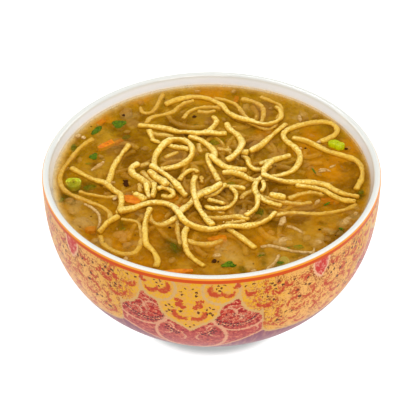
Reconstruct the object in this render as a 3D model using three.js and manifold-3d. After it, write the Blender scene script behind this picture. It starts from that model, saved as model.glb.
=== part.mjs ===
// A bowl of chicken manchow soup: a round printed porcelain bowl on a low foot ring, filled nearly
// to its lip with thickened broth. Crisp fried noodles lie tangled on the broth, and spring onion,
// herb leaves, carrot and chicken float round them. Millimetres, +Z up, -Y is the front. The origin
// is the middle of the foot ring's underside.

import * as THREE from "three";
import { mergeVertices } from "three/addons/utils/BufferGeometryUtils.js";
import Module from "manifold-3d";

const wasm = await Module();
wasm.setup();

// Driving dimensions
const rimRadius = 65;
const rimHeight = 61;
const footHeight = 4;
const lipThickness = 2.6;
const freeboard = 4.4; // from the broth up to the rim
const noodleRadius = 1.15;
const gap = 0.3; // left between pieces that touch

// The bowl
const turns = 60; // facets round the bowl
const bellyRadius = 30; // flat underside of the bowl, outside the foot ring
const bellyRise = 2.9; // how squarely the side stands up at the rim
const bellyTuck = 1.6; // how roundly the side turns in at the foot
const footOuterRadius = 28;
const footInnerRadius = 24.5;
const footTaper = 0.8; // the foot ring is wider at its root
const footRecess = 3; // height of the recessed underside
const floorThickness = 4.5;
const innerFloorRadius = 24;
const innerRise = 2.7;
const innerTuck = 1.7;
const wallAtBroth = 4.4; // the wall thickens below its rounded lip
const lipRound = 1.2;

// The noodles
const strandSides = 5;
const strandStep = 3.8;
const strandSink = 0.45; // height of a lowest strand's middle above the broth
const climb = 0.35; // steepest rise of a strand, as a slope
const stackHeight = 5.5; // most that a strand's middle rises above the broth
const press = 0.8; // crossing strands press together by this share of their thickness

// The bare core of the heap
const coreDepth = 7;
const coreOutline = [
  [46, 6], [43, 20], [35, 32], [22, 37], [8, 44], [-8, 46], [-22, 40], [-31, 27], [-36, 14],
  [-42, 1], [-43, -14], [-37, -27], [-25, -35], [-15, -38], [-3, -39], [11, -34], [24, -25],
  [36, -18], [45, -10],
];

const brothLevel = rimHeight - freeboard;
const innerFloor = footHeight + floorThickness;

// A bowl's side is a stretched quarter ellipse: upright at its top, level where it meets its floor.
function sideRadius(top, floor, topRadius, floorRadius, rise, tuck, z) {
  const down = Math.min(1, (top - z) / (top - floor));
  return floorRadius + (topRadius - floorRadius) * (1 - down ** rise) ** (1 / tuck);
}

function outerSide(z) {
  return sideRadius(rimHeight, footHeight, rimRadius, bellyRadius, bellyRise, bellyTuck, z);
}

function innerSide(z) {
  const topRadius = rimRadius - wallAtBroth;
  return sideRadius(brothLevel, innerFloor, topRadius, innerFloorRadius, innerRise, innerTuck, z);
}

// Heights from top to floor, closer together towards the floor, where the side curves most.
function heights(top, floor, count) {
  const steps = Array.from({ length: count + 1 }, (_, i) => Math.sin(((i / count) * Math.PI) / 2));
  return steps.map((step) => top - (top - floor) * step);
}

const innerHeights = heights(brothLevel - 1, innerFloor, 7);

// A profile of [radius, height] pairs turned about the upright axis.
function turned(profile, facets = turns) {
  const points = profile.map(([r, z]) => new THREE.Vector2(r, z));
  return new THREE.LatheGeometry(points, facets).rotateX(Math.PI / 2);
}

// A smooth curve through [x, y] or [x, y, z] points.
function curveThrough(points, closed = false) {
  const places = points.map(([x, y, z = 0]) => new THREE.Vector3(x, y, z));
  return new THREE.CatmullRomCurve3(places, closed, "centripetal");
}

// The exact solid of a closed geometry, for joining and cutting.
function solidOf(geometry) {
  const bare = geometry.clone().deleteAttribute("normal").deleteAttribute("uv");
  const merged = mergeVertices(bare, 1e-3);
  const corners = Array.from(merged.index.array);
  const kept = [];
  for (let i = 0; i < corners.length; i += 3) {
    const [a, b, c] = corners.slice(i, i + 3);
    if (a !== b && b !== c && c !== a) kept.push(a, b, c);
  }
  const vertProperties = merged.attributes.position.array;
  const facing = (triangles) => {
    const triVerts = new Uint32Array(triangles);
    return new wasm.Manifold(new wasm.Mesh({ numProp: 3, vertProperties, triVerts }));
  };
  const solid = facing(kept);
  return solid.volume() < 0 ? facing(kept.reverse()) : solid;
}

// The one outer body of a solid: loose scraps are dropped and sealed hollows filled.
function outerBody(solid) {
  const bodies = solid.decompose();
  return bodies.reduce((best, body) => (body.volume() > best.volume() ? body : best));
}

function geometryOf(solid) {
  const mesh = solid.getMesh();
  const vertices = new Float32Array(mesh.numVert * 3);
  for (let i = 0; i < mesh.numVert; i++) {
    const start = i * mesh.numProp;
    vertices.set(mesh.vertProperties.subarray(start, start + 3), i * 3);
  }
  return new THREE.BufferGeometry()
    .setAttribute("position", new THREE.BufferAttribute(vertices, 3))
    .setIndex(new THREE.BufferAttribute(mesh.triVerts, 1));
}

// The bowl: foot ring, belly, rounded lip and hollow, turned in one profile.
function bowlGeometry() {
  const quarter = [0, 1, 2, 3].map((i) => (i / 3) * (Math.PI / 2));
  const lipHeight = rimHeight - lipRound;
  const lip = [
    ...quarter.map((turn) => [
      rimRadius - lipRound + lipRound * Math.cos(turn),
      lipHeight + lipRound * Math.sin(turn),
    ]),
    ...quarter.slice(1).map((turn) => [
      rimRadius - lipThickness + lipRound - lipRound * Math.sin(turn),
      lipHeight + lipRound * Math.cos(turn),
    ]),
  ];
  const outside = heights(lipHeight, footHeight, 9).map((z) => [outerSide(z), z]);
  const inside = innerHeights.map((z) => [innerSide(z), z]);
  const foot = [
    [0, footRecess],
    [footInnerRadius - footTaper, footRecess],
    [footInnerRadius, 0],
    [footOuterRadius, 0],
    [footOuterRadius + footTaper, footHeight],
  ];
  return turned([...foot, ...outside.slice(1).reverse(), ...lip, ...inside, [0, innerFloor]]);
}

// The wall's inside radius at the broth's surface, on the straight run between lip and hollow.
function radiusAtBroth() {
  const [lipEnd, wallStart] = [rimHeight - lipRound, innerHeights[0]];
  const share = (lipEnd - brothLevel) / (lipEnd - wallStart);
  return THREE.MathUtils.lerp(rimRadius - lipThickness, innerSide(wallStart), share);
}

// The broth fills the bowl's hollow up to its level.
function brothGeometry() {
  const side = innerHeights.map((z) => {
    const down = (brothLevel - z) / (brothLevel - innerFloor);
    return [innerSide(z) - gap, z + gap * down];
  });
  return turned([
    [0, innerFloor + gap],
    ...side.reverse(),
    [radiusAtBroth() - gap, brothLevel],
    [0, brothLevel],
  ]);
}

// The heap's core: a flat-topped lens with the heap's outline, let into the broth.
function coreGeometry(grown = 0) {
  const outline = curveThrough(coreOutline, true).getSpacedPoints(44).slice(0, -1);
  const rings = [[0, brothLevel + grown], [1, brothLevel + grown]];
  for (const depth of [0.35, 0.75, 1]) {
    rings.push([Math.sqrt(1 - (depth * 0.95) ** 2), brothLevel - grown - coreDepth * depth]);
  }
  rings.push([0, brothLevel - grown - coreDepth]);
  return loft(
    rings.map(([share, z]) =>
      outline.map(({ x, y }) => {
        const reach = share + (share > 0 ? grown / Math.hypot(x, y) : 0);
        return new THREE.Vector3(x * reach, y * reach, z);
      }),
    ),
  );
}

// A closed skin through rings of points, from the first ring to the last, both shrunk to a point.
function loft(rings) {
  const around = rings[0].length;
  const vertices = rings.flat().flatMap((point) => point.toArray());
  const corners = [];
  for (let ring = 0; ring + 1 < rings.length; ring++) {
    for (let i = 0; i < around; i++) {
      const next = (i + 1) % around;
      const [a, b] = [ring * around + i, ring * around + next];
      const [c, d] = [a + around, b + around];
      corners.push(a, d, b, a, c, d);
    }
  }
  return new THREE.BufferGeometry()
    .setAttribute("position", new THREE.Float32BufferAttribute(vertices, 3))
    .setIndex(corners);
}

// The noodles' routes, as [x, y] points seen from above, from the lowest strand to the highest.
// A strand crosses over whatever already lies under it.
const routes = [
  // half sunk at the back
  [[20, 53], [24, 50], [28.5, 45.5], [27.5, 41], [26, 37]],
  [[1, 52], [6, 50], [10.5, 46.5], [13, 40], [16, 33]],
  [[12, 51.5], [17, 49.5], [20.5, 45.5], [21, 40], [19.5, 32]],
  [[-20, 55], [-21.5, 49], [-23.5, 43], [-26, 40], [-28.6, 41.5], [-29.2, 45]],
  [[-26.5, 34], [-24, 38.5], [-16, 42], [-12, 47], [-7, 50]],
  [[-11.5, 37.5], [-9.5, 42], [-4, 45.5], [1, 45.5], [4, 44.5]],
  // half sunk in the middle and at the sides
  [[3, 2.5], [8, 2.5], [12, 0], [15, -5]],
  [[17, -12], [22, -14], [33, -17], [38, -16]],
  [[29, -14], [33, -11.5], [38, -10], [43, -11.5]],
  [[-13, -27], [-12.5, -34], [-11, -41]],
  [[-10.5, -38.5], [-5, -40.5], [0, -40.5], [4, -38]],
  [[-23.5, -19], [-22.5, -27], [-19, -29.5], [-15, -28], [-11.5, -25]],
  [[-37, -35], [-38, -41], [-33, -46], [-28, -45.5], [-26, -41], [-26, -34], [-27.5, -28], [-34, -26]],
  [[-50.5, -9.5], [-46, -11.5], [-41, -12.8], [-34.5, -13]],
  [
    [-47, 24], [-51, 19], [-55, 11], [-58, 3], [-58.3, -3], [-56, -9], [-51, -13], [-46, -16],
    [-40.5, -19.5], [-38, -23], [-38.5, -29],
  ],
  [[23, -24], [29, -22.5], [37, -23], [44, -22.5], [50, -20.5], [55, -17.5]],
  [[31, 12.5], [26, 10.5], [20, 8], [16, 5]],
  [[11, 14], [14, 11], [14.5, 7], [17, 3.5], [20.5, 4.5], [24, 8.5]],
  [[-4, -24.5], [2, -25.5], [9, -25], [14, -27.5]],
  // the tangle
  [
    [-19, 46.5], [-14, 50], [-7, 52], [-1, 50.5], [4, 46], [7, 40], [11, 35.5], [16, 32.5],
    [20, 30.8], [25, 33], [28, 38], [27.5, 42], [26, 44.5],
  ],
  [[0.5, 38.5], [2, 35], [0.5, 31], [-2.5, 26]],
  [[-25, 28.5], [-23, 24.5], [-19, 21.5]],
  [[-17.5, 13], [-13, 15], [-8.5, 17]],
  [[-9, 25], [-4.5, 22], [-1, 18.5], [1.2, 13.5], [0.5, 9]],
  [
    [43, 21.5], [47, 24], [50, 28], [49.5, 32], [46, 34.5], [40, 34], [34.5, 32], [30, 29],
    [28.5, 26], [29.5, 22], [32.5, 18], [34.5, 13], [34, 8], [31.5, 3], [27, 0], [20, -2.5],
  ],
  [[32, 24], [37, 22], [41, 19], [46, 15], [52, 12], [56.5, 9], [58.2, 4], [57.8, -2], [55, -9]],
  [[30, 33.5], [25, 27], [20.5, 20.5], [17, 14], [13.5, 10]],
  [[-32.5, 19.5], [-35.5, 12.5], [-38, 5], [-39, -2], [-40.5, -8]],
  [[-54.5, 4.5], [-48, -1], [-42, -5.5], [-38, -9.5], [-34.5, -13], [-34, -18], [-34.8, -24]],
  [[-34.5, -25.5], [-38.5, -29.5], [-41.5, -35]],
  [
    [-23, -21], [-24.5, -29], [-24.5, -36], [-24, -41], [-21, -45.5], [-19.5, -51], [-20.3, -54],
  ],
  [[-9, -31.5], [-10, -37], [-9, -45], [-6, -50], [-2.5, -53.5]],
  [[6, -32], [11, -37.5], [16, -43.5]],
  [[20, -2.5], [17, -6], [16.5, -10.5], [18.5, -14.5], [22, -17], [26.5, -19]],
  [[17.5, -14], [17, -20], [15, -24], [12.5, -27]],
  [[-5.5, -11.5], [-1, -8.5], [4, -7], [9, -7.3], [13, -8.5]],
  [[7, -7.5], [9.8, -12], [8.5, -17.5], [4.5, -21.5], [-1, -22]],
  [[-1.5, -15], [1.5, -16.5], [5, -19]],
  [[-1.5, 13.5], [-1, 7.5], [1, 1.5], [2.8, -4]],
  [[-0.5, 12], [2, 8], [7, 6], [13, 6]],
  [[-22, 8.5], [-27, 6.5], [-31.5, 4], [-30, 0], [-26, -4], [-23, -8.5], [-22.5, -15]],
  [[-21, -8], [-17.5, -10.5], [-14, -12]],
  [[6, 34], [7, 30], [10.5, 25.5], [12, 20], [11, 15], [8.5, 11.5], [4, 8.5]],
  [[-29.5, 32.3], [-24, 31.5], [-18, 30], [-12, 27], [-7, 25.8], [-1, 26], [6, 27]],
  [
    [-22, 3], [-22.5, 10], [-21, 17], [-17.5, 22.5], [-13.5, 23], [-10, 19.5], [-8, 14],
    [-10, 8.5], [-14.5, 5], [-20, 3.5],
  ],
  [[-24, 3], [-21, -2], [-17, -8]],
  [[-25, 5], [-19, 1], [-14.5, -5], [-11, -10], [-7, -14]],
  [[-11.8, -25], [-8.5, -18.5], [-5, -14], [-1.5, -12.5], [4, -8.5]],
  [[-5.5, 4], [-9, 2.5], [-12.5, -1.5]],
  [[19, -3], [24, -4.5], [31, -4.5], [38, -4.8], [43, -6], [47, -9.5], [51, -12], [56, -13.5]],
  [[32, -6.5], [38, -7.5], [42, -9.3], [46, -12.8], [50, -15.5], [54.5, -16.5]],
  [
    [-34.8, -24], [-31, -21.5], [-26, -18.5], [-20.5, -17], [-17, -18.5], [-14.5, -22],
    [-12, -27], [-9, -31], [-5, -32.5], [2, -32.7], [9, -31.8], [16, -30], [21, -27], [24, -23.5],
  ],
  [[-6, 4.5], [-7, -3], [-7, -10], [-6, -17], [-3.5, -24], [0.5, -31.5]],
];

// Whether a place lies well inside the core's outline, seen from above.
function overCore(x, y, outline) {
  let inside = false;
  outline.forEach((a, i) => {
    const b = outline[(i + 1) % outline.length];
    const crosses = a.y > y !== b.y > y && x < a.x + ((y - a.y) / (b.y - a.y)) * (b.x - a.x);
    if (crosses) inside = !inside;
  });
  return inside && outline.every((a) => Math.hypot(a.x - x, a.y - y) > noodleRadius + gap);
}

// Gives each route its heights: low on the core, clear of the broth beyond it, and over every
// strand laid before it.
function laidStrands() {
  const outline = curveThrough(coreOutline, true).getSpacedPoints(120).slice(0, -1);
  const laid = [];
  return routes.map((route) => {
    const plan = curveThrough(route);
    const count = Math.max(4, Math.round(plan.getLength()));
    const places = plan.getSpacedPoints(count);
    const pace = plan.getLength() / count;
    const least = places.map(({ x, y }) =>
      brothLevel + (overCore(x, y, outline) ? strandSink : noodleRadius + gap * 1.2),
    );
    places.forEach((place, i) => {
      place.z = least[i];
      for (const under of laid) {
        const apart = Math.hypot(place.x - under.x, place.y - under.y) / (2 * noodleRadius);
        if (apart < 1) {
          const over = under.z + 2 * noodleRadius * press * Math.sqrt(1 - apart ** 2);
          place.z = Math.max(place.z, Math.min(over, brothLevel + stackHeight));
        }
      }
    });
    for (let i = 1; i <= count; i++) {
      places[i].z = Math.max(places[i].z, places[i - 1].z - climb * pace);
    }
    for (let i = count - 1; i >= 0; i--) {
      places[i].z = Math.max(places[i].z, places[i + 1].z - climb * pace);
    }
    laid.push(...places);
    return places;
  });
}

function strandGeometry(places) {
  const along = curveThrough(places.filter((_, i) => i % 2 === 0).map((p) => p.toArray()));
  const section = new THREE.Shape();
  for (let i = 0; i < strandSides; i++) {
    const turn = (i / strandSides) * Math.PI * 2;
    const [x, y] = [noodleRadius * Math.cos(turn), noodleRadius * Math.sin(turn)];
    if (i === 0) section.moveTo(x, y);
    else section.lineTo(x, y);
  }
  return new THREE.ExtrudeGeometry(section, {
    steps: Math.max(2, Math.round(along.getLength() / strandStep)),
    bevelEnabled: false,
    extrudePath: along,
  });
}

// Toppings. Each geometry lies round its own middle and may be grown on all sides, for the pocket
// that it floats in.

// A short cut length of spring onion, its hole upright.
function onionRing(length, width, grown = 0) {
  const [outer, wall, half] = [length / 2 + grown, 0.7 + 2 * grown, width / 2 + grown];
  const section = [[outer - wall, -half], [outer, -half], [outer, half], [outer - wall, half]];
  return turned([...section, section[0]], 12);
}

// A lump of torn chicken or a soft piece of cabbage.
function lump(length, width, grown = 0) {
  const shape = new THREE.IcosahedronGeometry(1, 1);
  const { position } = shape.attributes;
  const place = new THREE.Vector3();
  for (let i = 0; i < position.count; i++) {
    place.fromBufferAttribute(position, i);
    const uneven = 1 + 0.12 * Math.sin(5 * place.x + 3 * place.y) + 0.1 * Math.sin(4 * place.z);
    const half = [length / 2, width / 2, width * 0.36].map((side) => side * uneven + grown);
    position.setXYZ(i, place.x * half[0], place.y * half[1], place.z * half[2]);
  }
  return shape;
}

// A cut stick or wedge of carrot, narrower at one end.
function carrotCut(length, width, grown = 0) {
  const [end, side, thick] = [length / 2 + grown, width / 2 + grown, 1.6 + 2 * grown];
  const shape = new THREE.Shape([
    new THREE.Vector2(-end, -side * 0.55),
    new THREE.Vector2(-end * 0.2, -side),
    new THREE.Vector2(end, -side * 0.8),
    new THREE.Vector2(end, side),
    new THREE.Vector2(-end * 0.3, side * 0.9),
    new THREE.Vector2(-end, side * 0.4),
  ]);
  return new THREE.ExtrudeGeometry(shape, { depth: thick, bevelEnabled: false, curveSegments: 1 })
    .translate(0, 0, -thick / 2);
}

// A thin wavy herb leaf with toothed edges. It lies on the broth, so nothing is cut for it.
function leaf(length, width) {
  const thickness = 0.45;
  const around = 14;
  const ring = (share, side) =>
    Array.from({ length: around }, (_, i) => {
      const turn = (i / around) * Math.PI * 2;
      const toothed = share * (i % 2 === 0 ? 1 : 0.72);
      const [x, y] = [Math.cos(turn) * toothed, Math.sin(turn) * toothed];
      const wave = 0.28 * Math.sin(3 * x + 2 * y) * share;
      return new THREE.Vector3((x * length) / 2, (y * width) / 2, wave + (side * thickness) / 2);
    });
  return loft([ring(0, 1), ring(0.55, 1), ring(1, 1), ring(1, -1), ring(0.55, -1), ring(0, -1)]);
}

const green = new THREE.Color(0x5f8f1e);
const darkGreen = new THREE.Color(0x2f5a16);
const orange = new THREE.Color(0xd9791c);
const pale = new THREE.Color(0xcfa970);

// name, shape, colour, [x, y], length, width, turn in degrees, middle's height above the broth
const toppings = [
  ["spring_onion_left", onionRing, green, [-53, -4], 5.8, 2.4, 0, 0.3],
  ["spring_onion_right", onionRing, green, [49.2, 19.4], 5.6, 2.6, 0, 0.4],
  ["spring_onion_front", onionRing, green, [26, -50], 5, 2.2, 0, 0.2],
  ["herb_leaf_back", leaf, darkGreen, [-37, 33.5], 6, 5, 30, 0.75],
  ["herb_leaf_left", leaf, darkGreen, [-46, 12], 5, 4, 80, 0.75],
  ["herb_leaf_back_left", leaf, green, [-46, 29], 7, 4.2, 100, 0.75],
  ["herb_leaf_front", leaf, darkGreen, [6, -52.5], 5.5, 3.8, 20, 0.75],
  ["herb_leaf_front_right", leaf, green, [32, -42], 5.5, 4, -30, 0.75],
  ["carrot_left", carrotCut, orange, [-42, 20], 6.5, 3.4, 75, 0.1],
  ["carrot_front", carrotCut, orange, [-12.5, -56], 12, 2.6, 186, 0.1],
  ["carrot_back", carrotCut, orange, [-45, 36.5], 4.6, 2.4, 50, 0.1],
  ["chicken_left", lump, pale, [-47.5, -27], 8.5, 5.5, -40, 0.2],
  ["chicken_front_left", lump, pale, [-32, -34.5], 5.6, 4.2, 70, 0.2],
  ["chicken_front", lump, pale, [26, -38], 6.5, 4.4, 25, 0.2],
  ["chicken_front_right", lump, pale, [39.5, -39], 6, 4.6, -35, 0.2],
  ["chicken_right", lump, pale, [50, -27.5], 6, 4.4, 60, 0.2],
  ["chicken_back_right", lump, pale, [37, 41.5], 7, 3.8, 110, 0.2],
  ["chicken_back_left", lump, pale, [-35, 44], 6, 4, 35, 0.2],
];

// Puts a topping's geometry where it floats.
function floated([, shape, , [x, y], length, width, turn, rise], grown = 0) {
  return shape(length, width, grown)
    .rotateZ(THREE.MathUtils.degToRad(turn))
    .translate(x, y, brothLevel + rise);
}

// Small bits fused to the broth: [x, y], length, width, turn in degrees.
const bits = [
  [[42.5, -32], 3.6, 3, 0], [[18, -46], 3.4, 2.2, 40], [[32.5, -48], 2.6, 1.8, 10],
  [[43, -37], 3, 2, -50], [[15, -55.5], 3, 2, 0], [[-43, -38], 3.2, 2.2, 30],
  [[-31, -49], 3, 2.2, 120], [[-53, -20.5], 3, 2.4, 60], [[-51.5, 11], 2.8, 1.8, 80],
  [[54, 19], 2.4, 1.8, 0], [[42, 40.5], 3, 2, 30], [[-6, 57], 3, 1.8, 0],
  [[9, 57], 2.6, 1.8, 20], [[-29, 50], 3, 2, 20], [[47.5, -33.5], 2.8, 2, 40],
  [[54, -23], 2.6, 1.8, 80], [[20.5, -54], 2.4, 1.8, 10], [[37, -45.5], 2.4, 2, 0],
];

// Each bit stands a little proud of the broth, with its root a little below the surface.
function bitSolid([[x, y], length, width, turn]) {
  const shape = new THREE.IcosahedronGeometry(1, 0)
    .scale(length / 2, width / 2, 0.8)
    .rotateZ(THREE.MathUtils.degToRad(turn));
  return solidOf(shape.translate(x, y, brothLevel));
}

// Building

function brothSolid() {
  const pockets = toppings
    .filter(([, shape]) => shape !== leaf)
    .map((topping) => solidOf(floated(topping, gap * 1.15)));
  let broth = solidOf(brothGeometry()).subtract(solidOf(coreGeometry(gap * 1.15)));
  for (const pocket of pockets) broth = broth.subtract(pocket);
  for (const bit of bits) broth = broth.add(bitSolid(bit));
  return outerBody(broth);
}

function noodleSolid() {
  let heap = solidOf(coreGeometry());
  for (const places of laidStrands()) heap = heap.add(solidOf(strandGeometry(places)));
  return outerBody(heap);
}

function named(name, geometry, color, roughness) {
  const material = new THREE.MeshStandardMaterial({ color, roughness, metalness: 0 });
  const mesh = new THREE.Mesh(geometry, material);
  mesh.name = name;
  return mesh;
}

const bowlOfSoup = new THREE.Group();
bowlOfSoup.add(named("bowl", bowlGeometry(), 0xd99a4e, 0.2));
bowlOfSoup.add(named("soup", geometryOf(brothSolid()), 0xa9741b, 0.15));
bowlOfSoup.add(named("fried_noodles", geometryOf(noodleSolid()), 0xe3b65c, 0.5));
for (const topping of toppings) {
  const [name, , color] = topping;
  bowlOfSoup.add(named(name, floated(topping), color, 0.45));
}

export default bowlOfSoup;
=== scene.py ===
import math
import random

import bmesh
import bpy
from mathutils import Matrix, Vector, noise


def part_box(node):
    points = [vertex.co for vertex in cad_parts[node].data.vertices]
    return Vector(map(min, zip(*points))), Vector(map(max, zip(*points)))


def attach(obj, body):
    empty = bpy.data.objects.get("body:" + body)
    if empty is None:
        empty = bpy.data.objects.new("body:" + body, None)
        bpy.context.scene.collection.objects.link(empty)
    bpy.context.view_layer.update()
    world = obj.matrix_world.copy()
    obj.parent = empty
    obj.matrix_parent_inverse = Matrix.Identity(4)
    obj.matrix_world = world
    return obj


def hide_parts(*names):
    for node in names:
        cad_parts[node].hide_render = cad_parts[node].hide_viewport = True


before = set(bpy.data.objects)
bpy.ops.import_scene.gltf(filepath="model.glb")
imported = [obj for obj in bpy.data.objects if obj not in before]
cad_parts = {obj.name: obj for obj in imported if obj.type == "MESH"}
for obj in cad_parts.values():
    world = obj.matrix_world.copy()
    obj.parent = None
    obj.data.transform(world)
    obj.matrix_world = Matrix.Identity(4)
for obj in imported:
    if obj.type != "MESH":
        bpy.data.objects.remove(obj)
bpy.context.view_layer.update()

MM = 0.001

# ---------------------------------------------------------------------------------------------------
# The studio: a pale floor under a white tent, lit by four broad soft lamps: one above and behind the
# bowl, one in front and one at each side. The camera stands well back and looks down at 40 degrees.

bowl_low, bowl_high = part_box("bowl")
rim_radius = bowl_high.x
rim_height = bowl_high.z

view_down = math.radians(39.77)
view_distance = 0.650
view_lens, view_sensor = 140.8, 36
view_middle = Vector((0, 0, 0.030))
view_aim = Vector((-0.0006, 0, 0.0395))

camera = bpy.data.objects.new("camera", bpy.data.cameras.new("camera"))
camera.data.lens = view_lens
camera.data.sensor_width = view_sensor
camera.location = view_middle - view_distance * Vector((0, math.cos(view_down), -math.sin(view_down)))
camera.rotation_euler = (view_aim - camera.location).to_track_quat("-Z", "Y").to_euler()
bpy.context.scene.collection.objects.link(camera)
bpy.context.scene.camera = camera
bpy.context.scene.view_settings.view_transform = "Standard"


class Socket:
    """A shader value that plain arithmetic works on. Colours go through mix, not through arithmetic."""

    def __init__(self, end):
        self.end = end

    def node(self, kind, settings={}, sockets={}, out=0):
        made = self.end.id_data.nodes.new("ShaderNode" + kind)
        for name, value in settings.items():
            if name == "points":
                curve = made.mapping.curves[0]
                while len(curve.points) < len(value):
                    curve.points.new(0.5, 0.5)
                for point, place in zip(curve.points, value):
                    point.location = place
                made.mapping.update()
            else:
                setattr(made, name, value)
        for name, value in sockets.items():
            socket = made.inputs[name]
            if isinstance(value, Socket):
                self.end.id_data.links.new(value.end, socket)
            elif socket.type == "RGBA":
                socket.default_value = (*value, 1)
            else:
                socket.default_value = value
        return Socket(made.outputs[out])

    def part(self, name):
        return Socket(self.end.node.outputs[name])

    def math(self, operation, *others):
        sockets = dict(enumerate((self, *others)))
        return self.node("Math", {"operation": operation}, sockets)

    def __add__(self, other):
        return self.math("ADD", other)

    def __radd__(self, other):
        return self + other

    def __sub__(self, other):
        return self.math("SUBTRACT", other)

    def __rsub__(self, other):
        return (self * -1) + other

    def __mul__(self, other):
        return self.math("MULTIPLY", other)

    def __rmul__(self, other):
        return self * other

    def __truediv__(self, other):
        return self.math("DIVIDE", other)

    def __pow__(self, other):
        return self.math("POWER", other)

    def __lt__(self, other):
        return self.math("LESS_THAN", other)

    def __gt__(self, other):
        return self.math("GREATER_THAN", other)

    def __abs__(self):
        return self.math("ABSOLUTE")

    def either(self, other):
        return self.math("MAXIMUM", other)

    def fade(self, start, end):
        """0 up to start and 1 from end on, or the other way round where start is above end."""
        settings = {"interpolation_type": "SMOOTHSTEP"}
        if start < end:
            return self.node("MapRange", settings, {0: self, 1: start, 2: end, 3: 0, 4: 1})
        return self.node("MapRange", settings, {0: self, 1: end, 2: start, 3: 1, 4: 0})

    def mix(self, low, high):
        """The colour low where this is 0, and high where it is 1."""
        return self.node("Mix", {"data_type": "RGBA"}, {0: self, 6: low, 7: high}, 2)

    def scaled(self, factor):
        return self.node("VectorMath", {"operation": "SCALE"}, {0: self, 3: factor})

    def reach_to(self, point):
        """How far this place is from a point."""
        return self.node("VectorMath", {"operation": "DISTANCE"}, {0: self, 1: point}, 1)

    def speckle(self, scale, detail=2, roughness=0.5):
        """Cloudy noise round 0.5, over a place in millimetres; scale is features per millimetre."""
        sockets = {"Vector": self, "Scale": scale, "Detail": detail, "Roughness": roughness}
        return self.node("TexNoise", {}, sockets)


def tint(red, green, blue):
    """A colour as the eye sees it, on a scale of 0 to 255, as the light it reflects."""
    return tuple(((side / 255 + 0.055) / 1.055) ** 2.4 for side in (red, green, blue))


def new_finish(name):
    """An empty material and the place on the piece, in millimetres."""
    finish = bpy.data.materials.new(name)
    finish.use_nodes = True
    finish.node_tree.nodes.clear()
    corner = finish.node_tree.nodes.new("ShaderNodeTexCoord")
    return finish, Socket(corner.outputs["Object"]).scaled(1 / MM)


def set_surface(shader):
    tree = shader.end.id_data
    output = tree.nodes.new("ShaderNodeOutputMaterial")
    tree.links.new(shader.end, output.inputs["Surface"])


def bump(height, strength, depth):
    """Small relief on a surface; depth is its height in millimetres."""
    return height.node("Bump", {}, {"Height": height, "Strength": strength, "Distance": depth * MM})


def new_piece(name, vertices, faces, finishes):
    mesh = bpy.data.meshes.new(name)
    mesh.from_pydata([Vector(v) for v in vertices], [], faces)
    for finish in finishes:
        mesh.materials.append(finish)
    mesh.polygons.foreach_set("use_smooth", [True] * len(mesh.polygons))
    mesh.update()
    piece = bpy.data.objects.new(name, mesh)
    bpy.context.scene.collection.objects.link(piece)
    return piece


floor_finish, place = new_finish("pale_floor")
cloud = place.speckle(0.01)
floor_colour = cloud.mix((0.7, 0.7, 0.7), (0.72, 0.72, 0.72))
# a painted shadow: the floor's colour and its glow are darker where the bowl's foot stands and keeps
# the light off it
shaded_middle, shaded_from, shaded_to = (0, -8, 0), 29, 35.5
painted_bowl_shadow = place.reach_to(shaded_middle).fade(shaded_to, shaded_from)
set_surface(place.node("BsdfPrincipled", {}, {
    "Base Color": painted_bowl_shadow.mix(floor_colour, (0.52, 0.53, 0.53)),
    "Roughness": 0.9, "Specular IOR Level": 0.0,
    "Emission Color": painted_bowl_shadow.mix((1, 1, 1), (0.1, 0.1, 0.1)), "Emission Strength": 0.62,
}))
floor_half = 4
floor = new_piece("floor", [
    (-floor_half, -floor_half, 0), (floor_half, -floor_half, 0),
    (floor_half, floor_half, 0), (-floor_half, floor_half, 0),
], [(0, 1, 2, 3)], [floor_finish])

world = bpy.data.worlds.new("white_tent")
world.use_nodes = True
tent = world.node_tree.nodes["Background"]
tent.inputs["Color"].default_value = (1, 1, 1, 1)
tent.inputs["Strength"].default_value = 0.52
bpy.context.scene.world = world


def soft_lamp(name, place, aim, size, power):
    light = bpy.data.lights.new(name, "AREA")
    light.size = size
    light.energy = power
    lamp = bpy.data.objects.new(name, light)
    lamp.location = place
    lamp.rotation_euler = (Vector(aim) - Vector(place)).to_track_quat("-Z", "Y").to_euler()
    bpy.context.scene.collection.objects.link(lamp)


soft_lamp("lamp_above", (-0.25, 0.35, 0.9), (0, 0, 0.04), 0.4, 3.0)
soft_lamp("lamp_front", (0.2, -0.85, 0.55), (0, 0, 0.05), 0.8, 6.0)
soft_lamp("lamp_left", (-0.85, 0.3, 0.26), (0, 0, 0.05), 0.6, 2.9)
soft_lamp("lamp_right", (0.85, 0.3, 0.26), (0, 0, 0.05), 0.6, 2.9)

# ---------------------------------------------------------------------------------------------------
# The bowl: porcelain, thrown and turned, white glazed inside, on its lip and underneath. An
# orange-red line runs below the lip, and the outside carries a transfer print of gold medallions on
# red, four times round.

foot_height = 4 * MM
lip_thickness = 2.75 * MM
lip_round = 1.2 * MM
belly_radius = 30 * MM
foot_outer = 28 * MM
foot_inner = 24.5 * MM
foot_taper = 0.8 * MM
foot_recess = 3 * MM
inner_floor = 8.5 * MM
inner_floor_radius = 24 * MM
broth_level = rim_height - 4.4 * MM
wall_at_broth = 4.4 * MM
inner_radius = rim_radius - wall_at_broth
outside_rise, outside_tuck = 2.9, 1.6
hollow_rise, hollow_tuck = 2.7, 1.7


def side_radius(top, bottom, top_radius, bottom_radius, rise, tuck, z):
    """A bowl's side is a stretched quarter ellipse: upright at its top and level at its floor."""
    down = min(1, (top - z) / (top - bottom))
    return bottom_radius + (top_radius - bottom_radius) * (1 - down ** rise) ** (1 / tuck)


def hollow_radius(z):
    return side_radius(
        broth_level, inner_floor, inner_radius, inner_floor_radius, hollow_rise, hollow_tuck, z)


def heights(top, bottom, count):
    """Heights from the top down that lie closer together towards the bottom."""
    return [top - (top - bottom) * math.sin(i / count * math.pi / 2) for i in range(count + 1)]


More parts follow.
